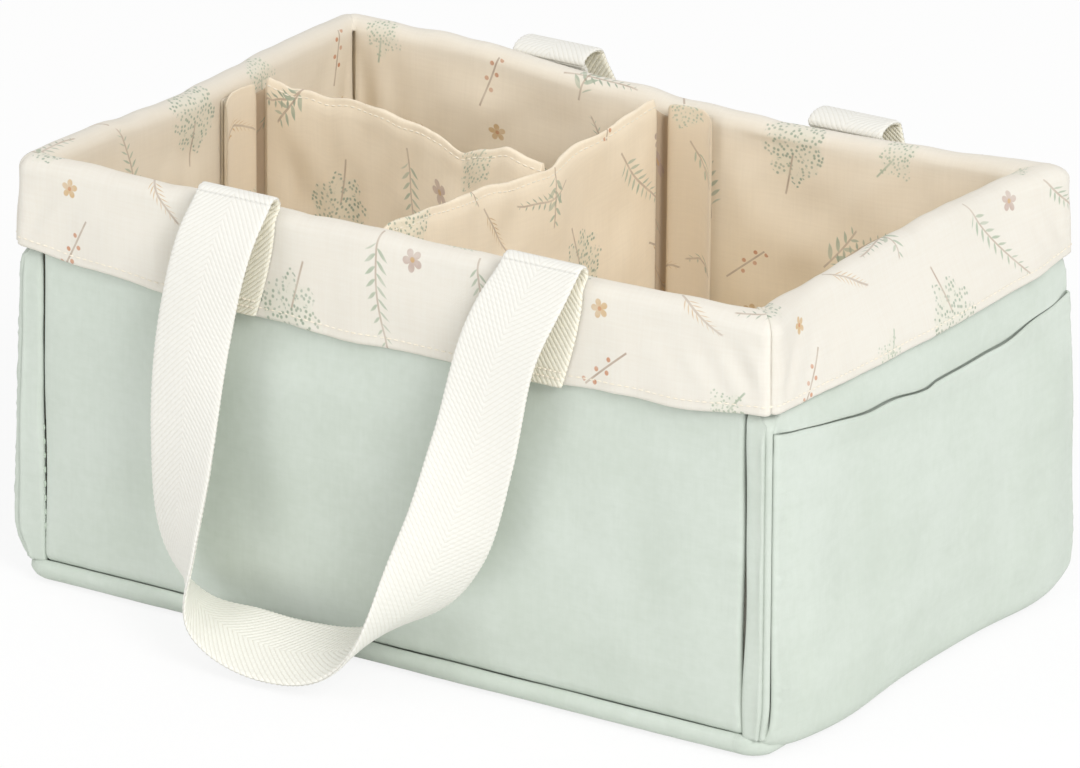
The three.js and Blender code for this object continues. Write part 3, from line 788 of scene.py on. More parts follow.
def rim_sink(wall, along):
    """How far the rim has sunk below its height, along a wall."""
    half = wall["span"] / 2
    edge = ease(half - np.abs(along), 10, 50)
    uneven = 0.7 * drift(wall["seed"], along, 0, 95) * edge * (1 - near_tails(wall, along))
    return wall["sink"] * np.maximum(0, 1 - ((along - wall["dip"]) / (0.8 * half)) ** 2) + uneven


def wall_lean(wall, along, height):
    """How far a wall leans inward towards its rim, least at the corners that hold it up."""
    share = np.clip(np.abs(along) / (wall["span"] / 2 - CORNER_INSET), 0, 1)
    return wall["lean"] * (1 - share ** 4) * ease(height, 138, 176)


def lining_radius(depth):
    """Radius of the lining's corners, which grows from the inside to the cuff."""
    share = (depth + CUFF_PROUD) / (LINING_DEPTH + CUFF_PROUD)
    return np.maximum(0.4, between(CUFF_CORNER_RADIUS, LINING_CORNER_RADIUS, share))


# Lining and cuff of each wall, from mitre to mitre
def make_lining(name):
    wall = WALLS[name]
    half = wall["span"] / 2
    seed = wall["seed"]
    # Columns run along the wall and half way round both corners
    bends = np.linspace(0, math.pi / 4, 9)
    straight = np.linspace(-1, 1, 150 if is_long(wall) else 104)
    share = np.concatenate([-np.ones(8), straight, np.ones(8)])[:, None]
    bend = np.concatenate([bends[:0:-1], np.zeros(len(straight)), bends[1:]])[:, None]
    side = np.sign(share)
    along = share * (half - CORNER_INSET)
    corner = half - CORNER_INSET - np.abs(along)
    seam = np.where(bend > 0, (math.pi / 4 - bend) * MITRE_RADIUS, corner + 0.8 * MITRE_RADIUS)
    free = ease(corner, 2, 30)
    drop = CUFF_DROP - 1.2 + hem_drop(wall, along / half) - 1.6 * np.exp(-corner / 26)
    drop = drop + 0.7 * wall["loose"] * drift(seed + 3, along, 0, 48) * free
    # Rows run up the inside, over the rim and down the cuff
    inner = np.linspace(WALL_FOOT + 0.3, RIM_CENTRE, 66)
    roll = np.linspace(0, math.pi, 19)[1:-1]
    fall = np.linspace(0, 1, 27) ** 0.85

    def rows(inside, rim, cuff):
        parts = zip((inside, rim, cuff), (inner, roll, fall))
        return np.concatenate([np.broadcast_to(part, rows_there.shape) for part, rows_there in parts])

    is_inside = rows(1, 0, 0)
    on_cuff = rows(0, 0, 1)
    low_share = rows(0, 0, fall)
    over_rim = rows(0, 0.5 - 0.5 * np.cos(roll), 1)
    depth = rows(LINING_DEPTH, RIM_MIDDLE_DEPTH + RIM_RADIUS * np.cos(roll), RIM_MIDDLE_DEPTH - RIM_RADIUS)
    low = low_share * drop
    height = rows(inner, RIM_CENTRE + RIM_RADIUS * np.sin(roll), RIM_CENTRE) - low
    cuff_up = RIM_RADIUS * math.pi + fall * CUFF_DROP
    cloth_up = RIM_CENTRE + rows(inner - RIM_CENTRE, RIM_RADIUS * roll, cuff_up)
    # The whole rim sinks and sways a little
    lift = np.where(is_inside, ease(height, 40, RIM_CENTRE), 1 - low_share ** 1.5)
    height = height - rim_sink(wall, along) * lift
    sway = 1.1 * drift(seed + 5, along, 0, 120) * free * lift
    # The inside lies in soft swells, and draws in folds towards its corners
    tape = 0.0
    if wall["tape"] is not None:
        tape = 1 - ease(np.abs(along - wall["tape"]), 14, 26)
    inside = is_inside * ease(height, 12, 45) * (1 - ease(height, 150, RIM_CENTRE))
    swell = 1.5 * drift(seed + 7, along, height, 75) + 0.5 * drift(seed + 8, along, height, 26)
    folds = 1.9 * np.sin(2 * math.pi * corner / 17 + 0.02 * height) * np.exp(-corner / 15) * ease(seam, 0, 6)
    crease = 4.0 * bell(seam, 2.3) * is_inside * ease(height, 10, 30)
    inward = inside * (swell * free + folds) * (1 - tape) - crease
    # The cuff hangs free between the handles' ends: it bellies, flares at its hem and crumples at the corners
    tails = near_tails(wall, along)
    belly = np.sin(math.pi * low_share) + low_share ** 2
    wave = drift(seed + 9, along, low * 0.6, 52) * np.sin(math.pi * np.clip(low_share, 0, 0.75) / 1.5)
    flutter = drift(seed + 10, along, 0, 33) * ease(low_share, 0.4, 1)
    hanging = np.maximum(belly + 0.8 * wall["loose"] * (wave + flutter), 0.1)
    gathers = 0.35 * (puckers(seed + 12, along, 7.5) - 0.5) * ease(low_share, 0.8, 0.95)
    ears = (0.7 + 0.5 * low_share) * bell(seam, 15) * ease(low_share, 0.1, 0.9)
    creases = 0.8 * np.sin(2 * math.pi * (0.9 * corner + 0.55 * low) / 14 + seed)
    creases = creases * np.exp(-corner / 20) * ease(seam, 0, 6) * np.sin(math.pi * low_share)
    outward = free * (1 - tails) * hanging + 0.8 * free * gathers + ears + creases * (1 - tails)
    drawn = np.where(share > 0, *wall["drawn"][::-1]) * bell(seam, 20) * over_rim
    # Inside, the cloth rounds off some corners instead of reaching into them
    inner_side = np.where(is_inside, ease(height, 90, 168), 1 - over_rim)
    webbed = np.where(share > 0, *wall["web"][::-1]) * bell(seam, 24) * inner_side
    depth = depth + inward - on_cuff * outward + drawn + webbed + wall_lean(wall, along, height)
    depth = depth + sway * (1 - tails) * (1 - tape)
    # A seam lies in the cuff's corners
    depth = depth + 0.8 * bell(seam, 0.9) * over_rim
    height = height + 0.5 * drift(seed + 14, along, 0, 30) * rows(0, np.sin(roll), 0) * free * (1 - tails)
    radius = lining_radius(depth) + 1.6 * drawn
    run = half - depth - radius
    at_mitre = bend == bends[-1]
    x = share * run + side * (radius * np.sin(bend) - MITRE_GAP * at_mitre)
    y = -wall["reach"] + depth + radius * (1 - np.cos(bend))
    grid = turned(np.stack([x, y, height], axis=-1), wall["turn"])
    cloth_along = share * run + side * radius * bend + WALL_CLOTH + WALL_CLOTH_STEP * wall["turn"]
    place = np.stack(np.broadcast_arrays(cloth_along, cloth_up), axis=-1)
    lining = make_cloth(f"{name}_lining_cloth", grid, place, LINING_THICKNESS, PRINTED_COTTON, flip=True)
    stitch_row = np.argmin(np.abs(fall * CUFF_DROP - CUFF_DROP + HEM_STITCH_INSET)) + len(inner) + len(roll)
    return lining, grid[:, stitch_row] - normals_of(grid)[:, stitch_row] * 0.12


# Foam boards, hidden between the outer cover and the lining
def make_foam_board(name):
    wall = WALLS[name]
    half = wall["span"] / 2 - FOAM_INSET
    along = np.linspace(-half, half, 60)[:, None]
    height = between(FOAM_FOOT, FOAM_TOP - rim_sink(wall, along), np.linspace(0, 1, 30))
    x = np.broadcast_to(along, height.shape)
    depth = FOAM_DEPTH + wall_lean(wall, x, height)
    return make_wall_cloth(f"{name}_foam", wall, x, -depth, height, 0, FOAM_THICKNESS, FOAM)


# Outer panels of the long walls: cotton over wadding, turned under at the corner strips and in at the base
def make_long_panel(name):
    wall = WALLS[name]
    seed = wall["seed"]
    half = wall["span"] / 2 - STRIP_WIDTH - 0.3
    along = edge_spaced(2 * half, 2.6, 6.0) - half
    up = edge_spaced(LONG_PANEL_TOP - PANEL_FOOT, 2.6, 6.0) + PANEL_FOOT
    x, z = np.meshgrid(along, up, indexing="ij")
    edge = half - np.abs(x)
    foot = z - PANEL_FOOT
    hem = HEM_HEIGHT - hem_drop(wall, x / (wall["span"] / 2))
    plump = (1 - np.exp(-edge / 13)) * (1 - np.exp(-foot / 12))
    crown = 2.6 * (1 - np.abs(x / half) ** 2.5) * ease(z, 8, 34) * (1 - ease(z, 92, 138))
    swell = 0.75 * drift(seed + 21, x, z * 1.3, 105) + 0.28 * drift(seed + 22, x, z, 34)
    side_gathers = 0.8 * gathered(seed + 23, z, 11.5, edge, 10, 2)
    foot_gathers = gathered(seed + 24, x, 13.0, foot, 10, 3)
    out = 0.8 * plump + crown + swell * plump + side_gathers + foot_gathers
    out = between(out, -0.15, ease(z, hem - 26, hem - 3))
    out = out - 1.9 * (1 - rounded(edge, 1.9)) - 4.0 * (1 - rounded(foot, 5.2))
    slack = 0.7 * drift(seed + 25, z, 0, 70) * np.sign(x) * np.exp(-edge / 6)
    shift = PANEL_CLOTH_STEP * wall["turn"] - slack
    return make_wall_cloth(f"{name}_panel", wall, x + slack, out, z, shift, PANEL_THICKNESS, SAGE_COTTON)


# Outer panels of the ends, behind their slip pockets
def corner_round(z):
    """Radius of the corner strips, which widens under the cuff."""
    return 1.5 + 5.7 * ease(z, 134, 142)


def corner_bulge(z):
    """How far the wadding pushes a corner out, as a share of its most."""
    return ease(z, 6, 24) * (1 - np.clip((z - 28) / 105, 0, 1))


def corner_slump(wall, along, z):
    """How far the far corner of an end leans in towards its top."""
    return wall["slump"] * ease(z, 75, 135) * np.exp(-(wall["span"] / 2 - along) / 40)


def towards_front(name, along):
    return -along if name == "right_end" else along


def pocket_mouth(name, along):
    """Height of a slip pocket's mouth."""
    seed = WALLS[name]["seed"]
    share = np.clip(along / POCKET_HALF, -1, 1)
    mouth = 129 - 9 * (1 - share ** 2) + 4 * towards_front(name, share)
    mouth = mouth + 0.7 * drift(seed + 31, along, 0, 42) * ease(POCKET_HALF - np.abs(along), 0, 20)
    return mouth + 1.2 * (ease(along, -4, 4) - 0.5) * (1 - ease(np.abs(along), 8, 40))


def make_end_panel(name):
    wall = WALLS[name]
    seed = wall["seed"]
    share = edge_spaced(2, 3.0 / 110, 6.0 / 110)[:, None] - 1
    # Its rows follow the pocket's mouth, so that the slot behind the mouth is sharp
    mouth = pocket_mouth(name, share * POCKET_HALF)
    slot = np.array([0.1, 0.3, 0.5, 0.75, 1.0, 1.4, 2.0, 3.0, 4.5, 6.5]) / 45
    lower = between(PANEL_FOOT, mouth, np.linspace(0, 1, 30))
    upper = between(mouth, END_PANEL_TOP, np.concatenate([slot, np.linspace(0.2, 1, 14)]))
    z = np.hstack([lower, upper])
    half = wall["span"] / 2 - corner_round(z) - PANEL_GAP
    x = share * half
    edge = half - np.abs(x)
    lean = wall_lean(wall, x, z)
    gathers = 0.4 * gathered(seed + 23, z, 7.0, edge, 8, 2)
    above = ease(z, mouth + 0.1, mouth + 1.0) * (1 - ease(z, 131, 139))
    flush = (1.3 + lean) * np.exp(-np.maximum(z - mouth, 0) / 12) * ease(edge, 3, 14)
    out = (0.8 + flush + 0.15 * drift(seed + 21, x, z, 60) + gathers) * above - 0.15
    out = out - 1.7 * (1 - rounded(edge, 1.8)) - lean
    out = out - np.maximum(1.7 * ease(z, 138, 143), corner_slump(wall, x, z))
    shift = PANEL_CLOTH_STEP * wall["turn"]
    return make_wall_cloth(f"{name}_panel", wall, x, out, z, shift, PANEL_THICKNESS, SAGE_COTTON)


# Slip pocket of an end: sewn down at its sides, drawn under the base at its foot, with a soft mouth
def make_pocket(name):
    wall = WALLS[name]
    seed = wall["seed"]
    share = edge_spaced(2, 2.0 / POCKET_HALF, 6.0 / POCKET_HALF)[:, None] - 1
    rough = share * POCKET_HALF
    mouth = pocket_mouth(name, rough)
    foot = 1.0 + 6.5 * np.exp(-(POCKET_HALF - np.abs(rough)) / 9)
    z = between(foot, mouth, np.concatenate([np.linspace(0, 0.1, 14), np.linspace(0.115, 1, 60)]))
    half = wall["span"] / 2 - corner_round(z) - PANEL_GAP
    x = share * half
    edge = half - np.abs(x)
    rise = z - foot
    below = mouth - z
    pouch = 2.4 * ease(edge, 0, 26) * ease(rise, 0, 34) * ease(below, 0, 50)
    swell = 0.8 * drift(seed + 32, x, z * 0.8, 90) + 0.3 * drift(seed + 33, x, z, 30)
    front_side = ease(towards_front(name, x), -20, 60)
    gathers = gathered(seed + 34, z + 0.25 * edge, 6.5, edge, 5 + 4 * front_side, 2)
    foot_gathers = 0.4 * gathered(seed + 35, x, 12.0, rise, 12, 5)
    plump = ease(edge, 0, 14) * ease(rise, 0, 14) * ease(below, 0, 30)
    lip = 0.3 * bell(below - 4.5, 3.5) - 0.2 * bell(below - 10, 2.0)
    ajar = 1.3 * np.exp(-below / 7) * ease(edge, 10, 60)
    out = 2.3 + pouch + swell * plump + (1.0 + 1.5 * front_side) * gathers + foot_gathers + lip + ajar
    out = np.maximum(out, 2.1) - 2.3 * (1 - rounded(edge, 2.2)) - 6.0 * (1 - rounded(rise, 9))
    out = out + wall["bulge"] * corner_bulge(z) * np.exp(-edge / 22) - corner_slump(wall, x, z)
    # The foot of the end swells out beside its middle
    surge = bell(x + 62, 36) + 0.8 * bell(x - 86, 28)
    out = out + wall["surge"] * surge * (1 - ease(z, 6, 70))
    shift = PANEL_CLOTH_STEP * (wall["turn"] + 0.5)
    return make_wall_cloth(f"{name}_slip_pocket", wall, x, out, z, shift, POCKET_THICKNESS, SAGE_COTTON)


# Strip beside a corner: a folded band on the long wall, then a narrow flange round to the end
def make_corner_strip(name, side_x, side_y, seed):
    end = WALLS["right_end" if side_x > 0 else "left_end"]
    gape = 1.2 if side_x > 0 else 0.35
    most_slump = end["slump"] if side_y > 0 else 0.0
    up = np.concatenate([np.linspace(STRIP_FOOT, 22, 14), np.linspace(24, STRIP_TOP, 58)])
    rows = []
    for z in up:
        radius = corner_round(z)
        band = -max(2.6, radius - 1.0)
        gap = gape * math.sin(math.pi * np.clip((z - 8) / 136, 0, 1)) ** 2 + 0.25 * drift(seed, z, 0, 40)
        left = -STRIP_WIDTH + 0.1 + max(gap, 0)
        width = band - left
        under = ease(z, 128, 138)
        proud = (0.75 + 0.3 * drift(seed + 1, z, 0, 46)) * (1 - under) - 0.1 * under
        ridge = (0.45 + 0.2 * drift(seed + 2, z, 0, 24)) * (1 - under)
        draw_in = 1.3 * (1 - ease(z, 8, 24)) + max(3.2 * ease(z, 137, 143), most_slump * ease(z, 75, 135))
        push = end["bulge"] * corner_bulge(z) - draw_in
        line = [
            (left + 0.15, 1.9), (left, 1.2), (left + 0.05, 0.5), (left + 0.35, -0.05),
            (left + 0.9, -0.25 - 0.5 * proud), (left + 2.0, -proud), (left + 0.5 * width, -proud - 0.15),
            (left + 0.72 * width, -proud), (band - 1.1, -proud - ridge * 0.7), (band - 0.5, -proud - ridge),
            (band - 0.1, -proud - ridge * 0.75), (band + 0.12, -proud * 0.4),
            (band + 0.15, 0.35 - 0.35 * under), (band + 0.45, 0.3 - 0.35 * under),
            (band + 0.8, -0.05 - 0.05 * under),
        ]
        for angle in np.linspace(0.25, 1.0, 7) * math.pi / 2:
            line.append((-radius + radius * math.sin(angle), radius * (1 - math.cos(angle))))
        line += [(0.0, radius + 0.2), (-0.2, radius + 0.42), (-0.8, radius + 0.52), (-1.7, radius + 0.55)]
        rows.append([(along + push * ease(along, -9, 0), depth + 0.6 * draw_in, z) for along, depth in line])
    along, depth, z = np.moveaxis(np.array(rows, float).transpose(1, 0, 2), -1, 0)
    x = side_x * (end["reach"] + along)
    y = side_y * (WALLS["front"]["reach"] - depth)
    grid = np.stack([x, y, z], axis=-1)
    cloth_along = distances(grid[:, 20])[:, None] + STRIP_CLOTH + STRIP_CLOTH_STEP * seed
    place = np.stack(np.broadcast_arrays(cloth_along, up), axis=-1)
    strip = make_cloth(name, grid, place, STRIP_THICKNESS, SAGE_COTTON, flip=side_x * side_y > 0)
    seam = grid[1, 3:34] + np.array((-0.3 * side_x, 0.5 * side_y, 0))
    return strip, seam


# Base pad: a rounded, slightly uneven lip under the walls, flat where it stands
def make_base_pad():
    centres = np.array([(1, -1), (1, 1), (-1, 1), (-1, -1)]) * (np.array(BASE_REACH) - BASE_CORNER)
    # Its outline as centres that the lip goes round, and the way out from each
    outline = []
    for k, (here, after) in enumerate(zip(centres, np.roll(centres, -1, axis=0))):
        for angle in np.linspace(0, math.pi / 2, 15) + (k - 1) * math.pi / 2:
            outline.append((*here, math.cos(angle), math.sin(angle)))
        half_way = (after - here) / 2
        way_x, way_y = np.sign(half_way)
        for share in np.linspace(-1, 1, 133 if k % 2 else 85)[1:-1]:
            outline.append((*(here + half_way + share * half_way), way_y, -way_x))
    centre, way_out = np.hsplit(np.array(outline), 2)
    foot = centre + way_out * BASE_CORNER
    run = distances(foot)
    waves = 0.5 * drift(71, *foot.T, 60) + 0.4 * (puckers(73, run, 14) - 0.4)
    # Its section from the underside round the lip to the top, as distance in from the lip and height
    section = np.array([
        (60, 0.0), (30, 0.0), (11, 0.0), (7.5, 0.12), (5, 0.5), (3.1, 1.2), (1.6, 2.3), (0.6, 3.8),
        (0.1, 5.4), (0.3, 7.0), (1.1, 8.4), (2.3, 9.2), (3.3, 9.3), (4.4, 8.8), (5.4, 8.1), (8, 7.9),
        (14, 7.9), (60, 7.9),
    ])
    rings = []
    place = []
    for (inset, z), passed in zip(section, distances(section)):
        near = math.exp(-inset / 4)
        lift = 0.5 * drift(75, *foot.T, 60) * near * (z > 4)
        core = np.maximum(BASE_CORNER - inset, 0) + waves * near
        middle = centre - np.sign(centre) * max(inset - BASE_CORNER, 0)
        rings.append(np.column_stack([middle + way_out * core[:, None], np.maximum(z + lift, 0)]))
        place.append(np.column_stack([run + BASE_CLOTH, np.full(len(run), passed)]))
    return make_tube("base_pad", np.array(rings), np.array(place), SAGE_COTTON)


# Lining's floor
def make_floor_lining():
    sides = [np.linspace(-reach, reach, count) for reach, count in zip(FLOOR_REACH, (90, 60))]
    x, y = np.meshgrid(*sides, indexing="ij")
    z = FLOOR_HEIGHT + 0.22 * drift(81, x, y, 60)
    grid = np.stack([x, y, z], axis=-1)
    place = np.stack([x + FLOOR_CLOTH, y], axis=-1)
    return make_cloth("floor_lining", grid, place, FLOOR_THICKNESS, PRINTED_COTTON)


# Dividers: quilted cloth panels whose tops wave, with tabs turned onto the walls
def make_divider(name, stations, seed, shift, wave):
    """A standing panel along stations of (x, y, half thickness, top), and its rows of stitches."""
    stations = np.array(stations, float)
    run = distances(stations[:, :2])
    fine = np.linspace(0, run[-1], round(run[-1] / 0.9) + 1)
    x, y, half, top = [np.interp(fine, run, stations[:, k]) for k in range(4)]
    way_x, way_y = unit(np.gradient(np.stack([x, y], axis=1), axis=0)).T
    start, stop = fine[np.flatnonzero(half > DIVIDER_HALF - 0.05)[[0, -1]]]
    full = ease(fine, start, start + 14) * ease(-fine, -stop, 14 - stop)
    top = top + 0.5 * drift(seed, fine, 0, 26) * full
    share = np.concatenate([np.linspace(0, 0.9, 38), np.linspace(0.915, 1, 16)])[:, None]
    z = between(DIVIDER_FOOT + 0.2, top - 0.8, share)
    down = top - z
    thick = half * (0.28 + 0.72 * np.sqrt(ease(down, 0.4, 9))) * np.sqrt(ease(share, -0.04, 0.06))
    thick = thick - 0.22 * full * bell(down - DIVIDER_SEAM, 0.9)
    gathers = 0.3 * (puckers(seed + 6, fine, 6.0) - 0.4) * np.exp(-down / 6)
    swell = full * (0.35 * drift(seed + 3, fine, z, 36) + gathers)
    thick = np.maximum(thick + np.minimum(swell, 0.4), 0.45)
    sway = 1.6 * drift(seed + 1, fine, z * 0.5, 80) * ease(z, 30, 165)
    sway = sway + wave * drift(seed + 2, fine, 0, 44) * ease(z, 115, 172)
    sway = full * (sway + 0.45 * drift(seed + 4, fine, z * 0.8, 22) * ease(z, 25, 60))

    def standing(aside, up):
        return np.stack([x - way_y * aside, y + way_x * aside, up], axis=-1)

    right = standing(sway + thick, z)
    left = standing(sway - thick, z)
    crest = standing(sway[-1], z[-1] + 0.8 * thick[-1])
    around = np.concatenate([right, crest[None], left[::-1]]).transpose(1, 0, 2)
    cloth_up = np.concatenate([z, z[-1:] + 1, 2 * (z[-1:] + 1) - z[::-1]]).T
    place = np.stack(np.broadcast_arrays(fine[:, None] + shift, cloth_up), axis=-1)
    divider = make_tube(name, around[:, ::-1], place[:, ::-1], PRINTED_COTTON)
    seam = np.argmin(np.abs(down[:, len(fine) // 2] - DIVIDER_SEAM))
    kept = (fine > start) & (fine < stop)
    rows = [standing(sway[seam] + side * (thick[seam] + 0.1), z[seam])[kept] for side in (1, -1)]
    return divider, rows


def tab_stations(corner_x, corner_y, inward, onward):
    """A tab from its free end along the wall, in behind the divider's edge and out to where that starts."""
    stations = [
        (-TAB_WIDTH, 0, 0.8, -5), (1.2 - TAB_WIDTH, 0, 1, -2.2), (4 - TAB_WIDTH, 0, 1, -0.3),
        (10 - TAB_WIDTH, 0, 1, 0), (-9, 0.3, 1.1, -0.3), (-6.4, 0.2, 1, -1), (-5.4, -0.8, 0.6, -3),
        (-4.9, -2.6, 0.5, -5), (-4.0, -3.2, 0.5, -7), (-2.4, -3.3, 0.5, -7.5), (-1.2, -2.9, 0.5, -7),
        (-0.8, -1.5, 0.5, -6), (-0.5, 1.6, 0.6, -4), (0, 2.3, 1.7, -0.3), (0, 3.0, DIVIDER_HALF, 0.8),
        (0, TAB_TURN, DIVIDER_HALF, 0.8),
    ]
    return [
        (corner_x + along * inward[0] + out * onward[0], corner_y + along * inward[1] + out * onward[1],
         thick, DIVIDER_TOP + above)
        for along, out, thick, above in stations
    ]


def cross_divider_stations():
    tab_y = INSIDE_WIDTH / 2 - TAB_STAND_OFF
    front = tab_stations(CROSS_DIVIDER_X, -tab_y, (-1, 0), (0, 1))
    back = tab_stations(CROSS_DIVIDER_X, tab_y, (-1, 0), (0, -1))[::-1]
    between_tabs = between(front[-1][1], back[0][1], np.linspace(0, 1, 61)[1:-1])
    middle = [(CROSS_DIVIDER_X, y, DIVIDER_HALF, np.interp(y, *CROSS_TOPS)) for y in between_tabs]
    return front + middle + back


def long_divider_stations():
    tab_x = TAB_STAND_OFF - INSIDE_LENGTH / 2
    stations = tab_stations(tab_x, LONG_DIVIDER_Y + LONG_DIVIDER_LEAN, (0, 1), (1, 0))
    start = stations[-1][0]
    for share in np.linspace(0, 1, 61)[1:]:
        x = between(start, CROSS_DIVIDER_X - DIVIDER_GAP, share)
        ripple = 3 * math.sin(2 * math.pi * share) * math.sin(math.pi * share)
        y = LONG_DIVIDER_Y + LONG_DIVIDER_LEAN * math.cos(math.pi * share) + ripple
        stations.append((x, y, DIVIDER_HALF, np.interp(x, *LONG_TOPS)))
    return stations


# Handles: one length of webbing each, from one sewn end over its fold, down round the loop and back
def smooth_route(points, count):
    """Evenly spaced points on a centripetal curve through the given ones."""
    points = np.array(points, float)
    points = np.vstack([2 * points[0] - points[1], points, 2 * points[-1] - points[-2]])
    knots = np.concatenate([[0], np.cumsum(np.linalg.norm(np.diff(points, axis=0), axis=1) ** 0.5)])
    fine = []
    for k in range(len(points) - 3):
        stretch = points[k:k + 4]
        times = knots[k:k + 4]
        time = np.linspace(times[1], times[2], 80, endpoint=False)[:, None]
        # Neighbours are joined in pairs, the joins are joined, and so on until one curve is left
        for apart in (1, 2):
            shares = [(time - times[j]) / (times[j + apart] - times[j]) for j in range(4 - apart)]
            stretch = [between(stretch[j], stretch[j + 1], share) for j, share in enumerate(shares)]
        fine.append(between(*stretch, (time - times[1]) / (times[2] - times[1])))
    fine = np.vstack(fine + [points[-2:-1]])
    run = distances(fine)
    return resampled(fine, run, np.linspace(0, run[-1], count))


def sewn_end(wall, x):
    """A handle's end up the cuff and over the rim, and its fold, as points along the wall, out and up."""
    foot = HEM_HEIGHT - hem_drop(wall, 2 * (x - TAIL_SLANT) / wall["span"]) + 1.0
    share = np.linspace(0, 1, 40)
    angle = np.linspace(0, TAIL_WRAP, 16)[1:]
    heading = np.linspace(math.pi / 2 + TAIL_WRAP, LEG_LEAN - math.pi / 2, 60)[1:]
    arch = wall["arch"] * ease(np.linspace(0, 1, 60)[1:], 0, 1)
    along = np.concatenate([x - TAIL_SLANT * (1 - share) ** 1.4, np.full(len(angle) + len(heading), x)])
    out = np.concatenate([
        np.full(len(share), TAIL_START),
        WRAP_RADIUS * np.cos(angle) - RIM_MIDDLE_DEPTH,
        FOLD_OUT - FOLD_RADIUS * np.sin(heading) + arch,
    ])
    up = np.concatenate([
        between(foot, RIM_CENTRE, share),
        RIM_CENTRE + WRAP_RADIUS * np.sin(angle),
        FOLD_HEIGHT + FOLD_RADIUS * np.cos(heading) - ARCH_FALL * arch,
    ])
    return np.stack([along, out, up], axis=1), len(share) + len(angle)


def handle_route(wall):
    """A handle's middle line and the way its width lies, in its wall's frame, and where its parts meet."""
    left, tail_count = sewn_end(wall, HANDLE_ASIDE - HANDLE_SPREAD / 2)
    right, _ = sewn_end(wall, HANDLE_ASIDE + HANDLE_SPREAD / 2)
    loop = smooth_route([left[-1], *LOOP_ROUTE, right[-1]], 640)
    turn = np.clip((np.linspace(0, 1, len(loop)) - LOOP_LOWEST_AT) / LOOP_TWIST_REACH, -1, 1)
    turn = math.pi / 2 * (1 + np.sin(turn * math.pi / 2))
    lie = np.stack([-np.cos(turn), np.sin(turn), LOOP_TILT * np.sin(turn) ** 2], axis=1)
    level = np.tile((1.0, 0, 0), (len(left), 1))
    line = np.vstack([left, loop[1:-1], right[::-1]])
    width = np.vstack([-level, lie[1:-1], level])
    # The folds sit on the rim where it has sunk
    line[:, 2] -= rim_sink(wall, line[:, 0]) * ease(line[:, 2], 110, 172)
    line[:, 1] = -wall["reach"] - line[:, 1]
    count = len(line)
    return line, width, [tail_count - 1, len(left) - 1, count - len(right), count - tail_count]


def make_handle(name):
    """A handle's webbing, cut where it starts and stops bending: two sewn ends, two folds and the loop."""
    wall = WALLS[name]
    line, width, parts = handle_route(wall)
    run = distances(line)
    cuts = [0, *run[parts], run[-1]]
    even = [np.array([0.0])]
    for start, stop in zip(cuts, cuts[1:]):
        even.append(np.linspace(start, stop, max(12, round((stop - start) / WEBBING_STEP)) + 1)[1:])
    places = np.cumsum([0, *(len(part) for part in even[1:])])
    even = np.concatenate(even)
    line = resampled(line, run, even)
    width = resampled(width, run, even)
    way = unit(np.gradient(line, even, axis=0))
    # The sewn ends and folds lie level with the rim; the hanging loop comes to lie square to its own way
    square = ease(np.minimum(even - cuts[2], cuts[3] - even), 0, 30)[:, None]
    width = unit(width - square * way * np.sum(width * way, axis=1, keepdims=True))
    # It twists evenly, so its edges run smooth
    window = np.hanning(83)[1:-1]
    window /= window.sum()
    even_twist = [np.convolve(np.pad(width[:, k], 40, mode="edge"), window, mode="valid") for k in range(3)]
    width = unit(between(width, np.stack(even_twist, axis=1), square))
    face = unit(np.cross(width, way))
    across = np.concatenate([[-1, -0.985, -0.94], np.linspace(-0.86, 0.86, 13), [0.94, 0.985, 1]])
    edge = np.sqrt(np.maximum(0, 1 - np.clip((np.abs(across) - 0.93) / 0.07, 0, 1) ** 2))
    beads = np.sin(2 * math.pi * even / WEBBING_BEAD)
    half = WEBBING_WIDTH / 2 - 0.1 + 0.16 * beads
    hanging = ease(even, cuts[2] + 8, cuts[2] + 50) * ease(run[-1] - even, cuts[2] + 8, cuts[2] + 50)
    wander = 0.7 * drift(wall["seed"] + 51, even, 0, 130) * hanging
    curl = 0.9 * drift(wall["seed"] + 52, even, 0, 95) * hanging
    upper, lower = [], []
    for part, thin in zip(across, edge):
        middle = line + width * (half * part)[:, None] + face * (wander + curl * part ** 2)[:, None]
        lift = 0.5 * WEBBING_THICKNESS * max(thin, 0.12) * (0.9 + 0.1 * beads)
        upper.append(middle + face * lift[:, None])
        lower.append(middle - face * lift[:, None])
    rings = turned(np.array(upper + lower[::-1]).transpose(1, 0, 2), wall["turn"])
    aside = np.concatenate([across * WEBBING_WIDTH / 2, across[::-1] * WEBBING_WIDTH / 2 + WEBBING_BACK])
    place = np.stack(np.broadcast_arrays(aside, even[:, None]), axis=-1)
    straps = {}
    for part, start, stop in zip(STRAP_PARTS, places, places[1:]):
        here = slice(start, stop + 1)
        piece = make_tube(f"{name}_handle_{part}_webbing", rings[here], place[here], WEBBING)
        straps[part] = piece, float(even[stop] - even[start])
    tacks = []
    spread = np.linspace(-0.84, 0.84, 24)[:, None] * WEBBING_WIDTH / 2
    for from_end in (even, run[-1] - even):
        for inset in TACK_INSETS:
            index = np.argmin(np.abs(from_end - inset))
            out = -face[index] * np.sign(face[index, 1])
            tacks.append(turned(line[index] + width[index] * spread + out * 1.05, wall["turn"]))
    return straps, tacks


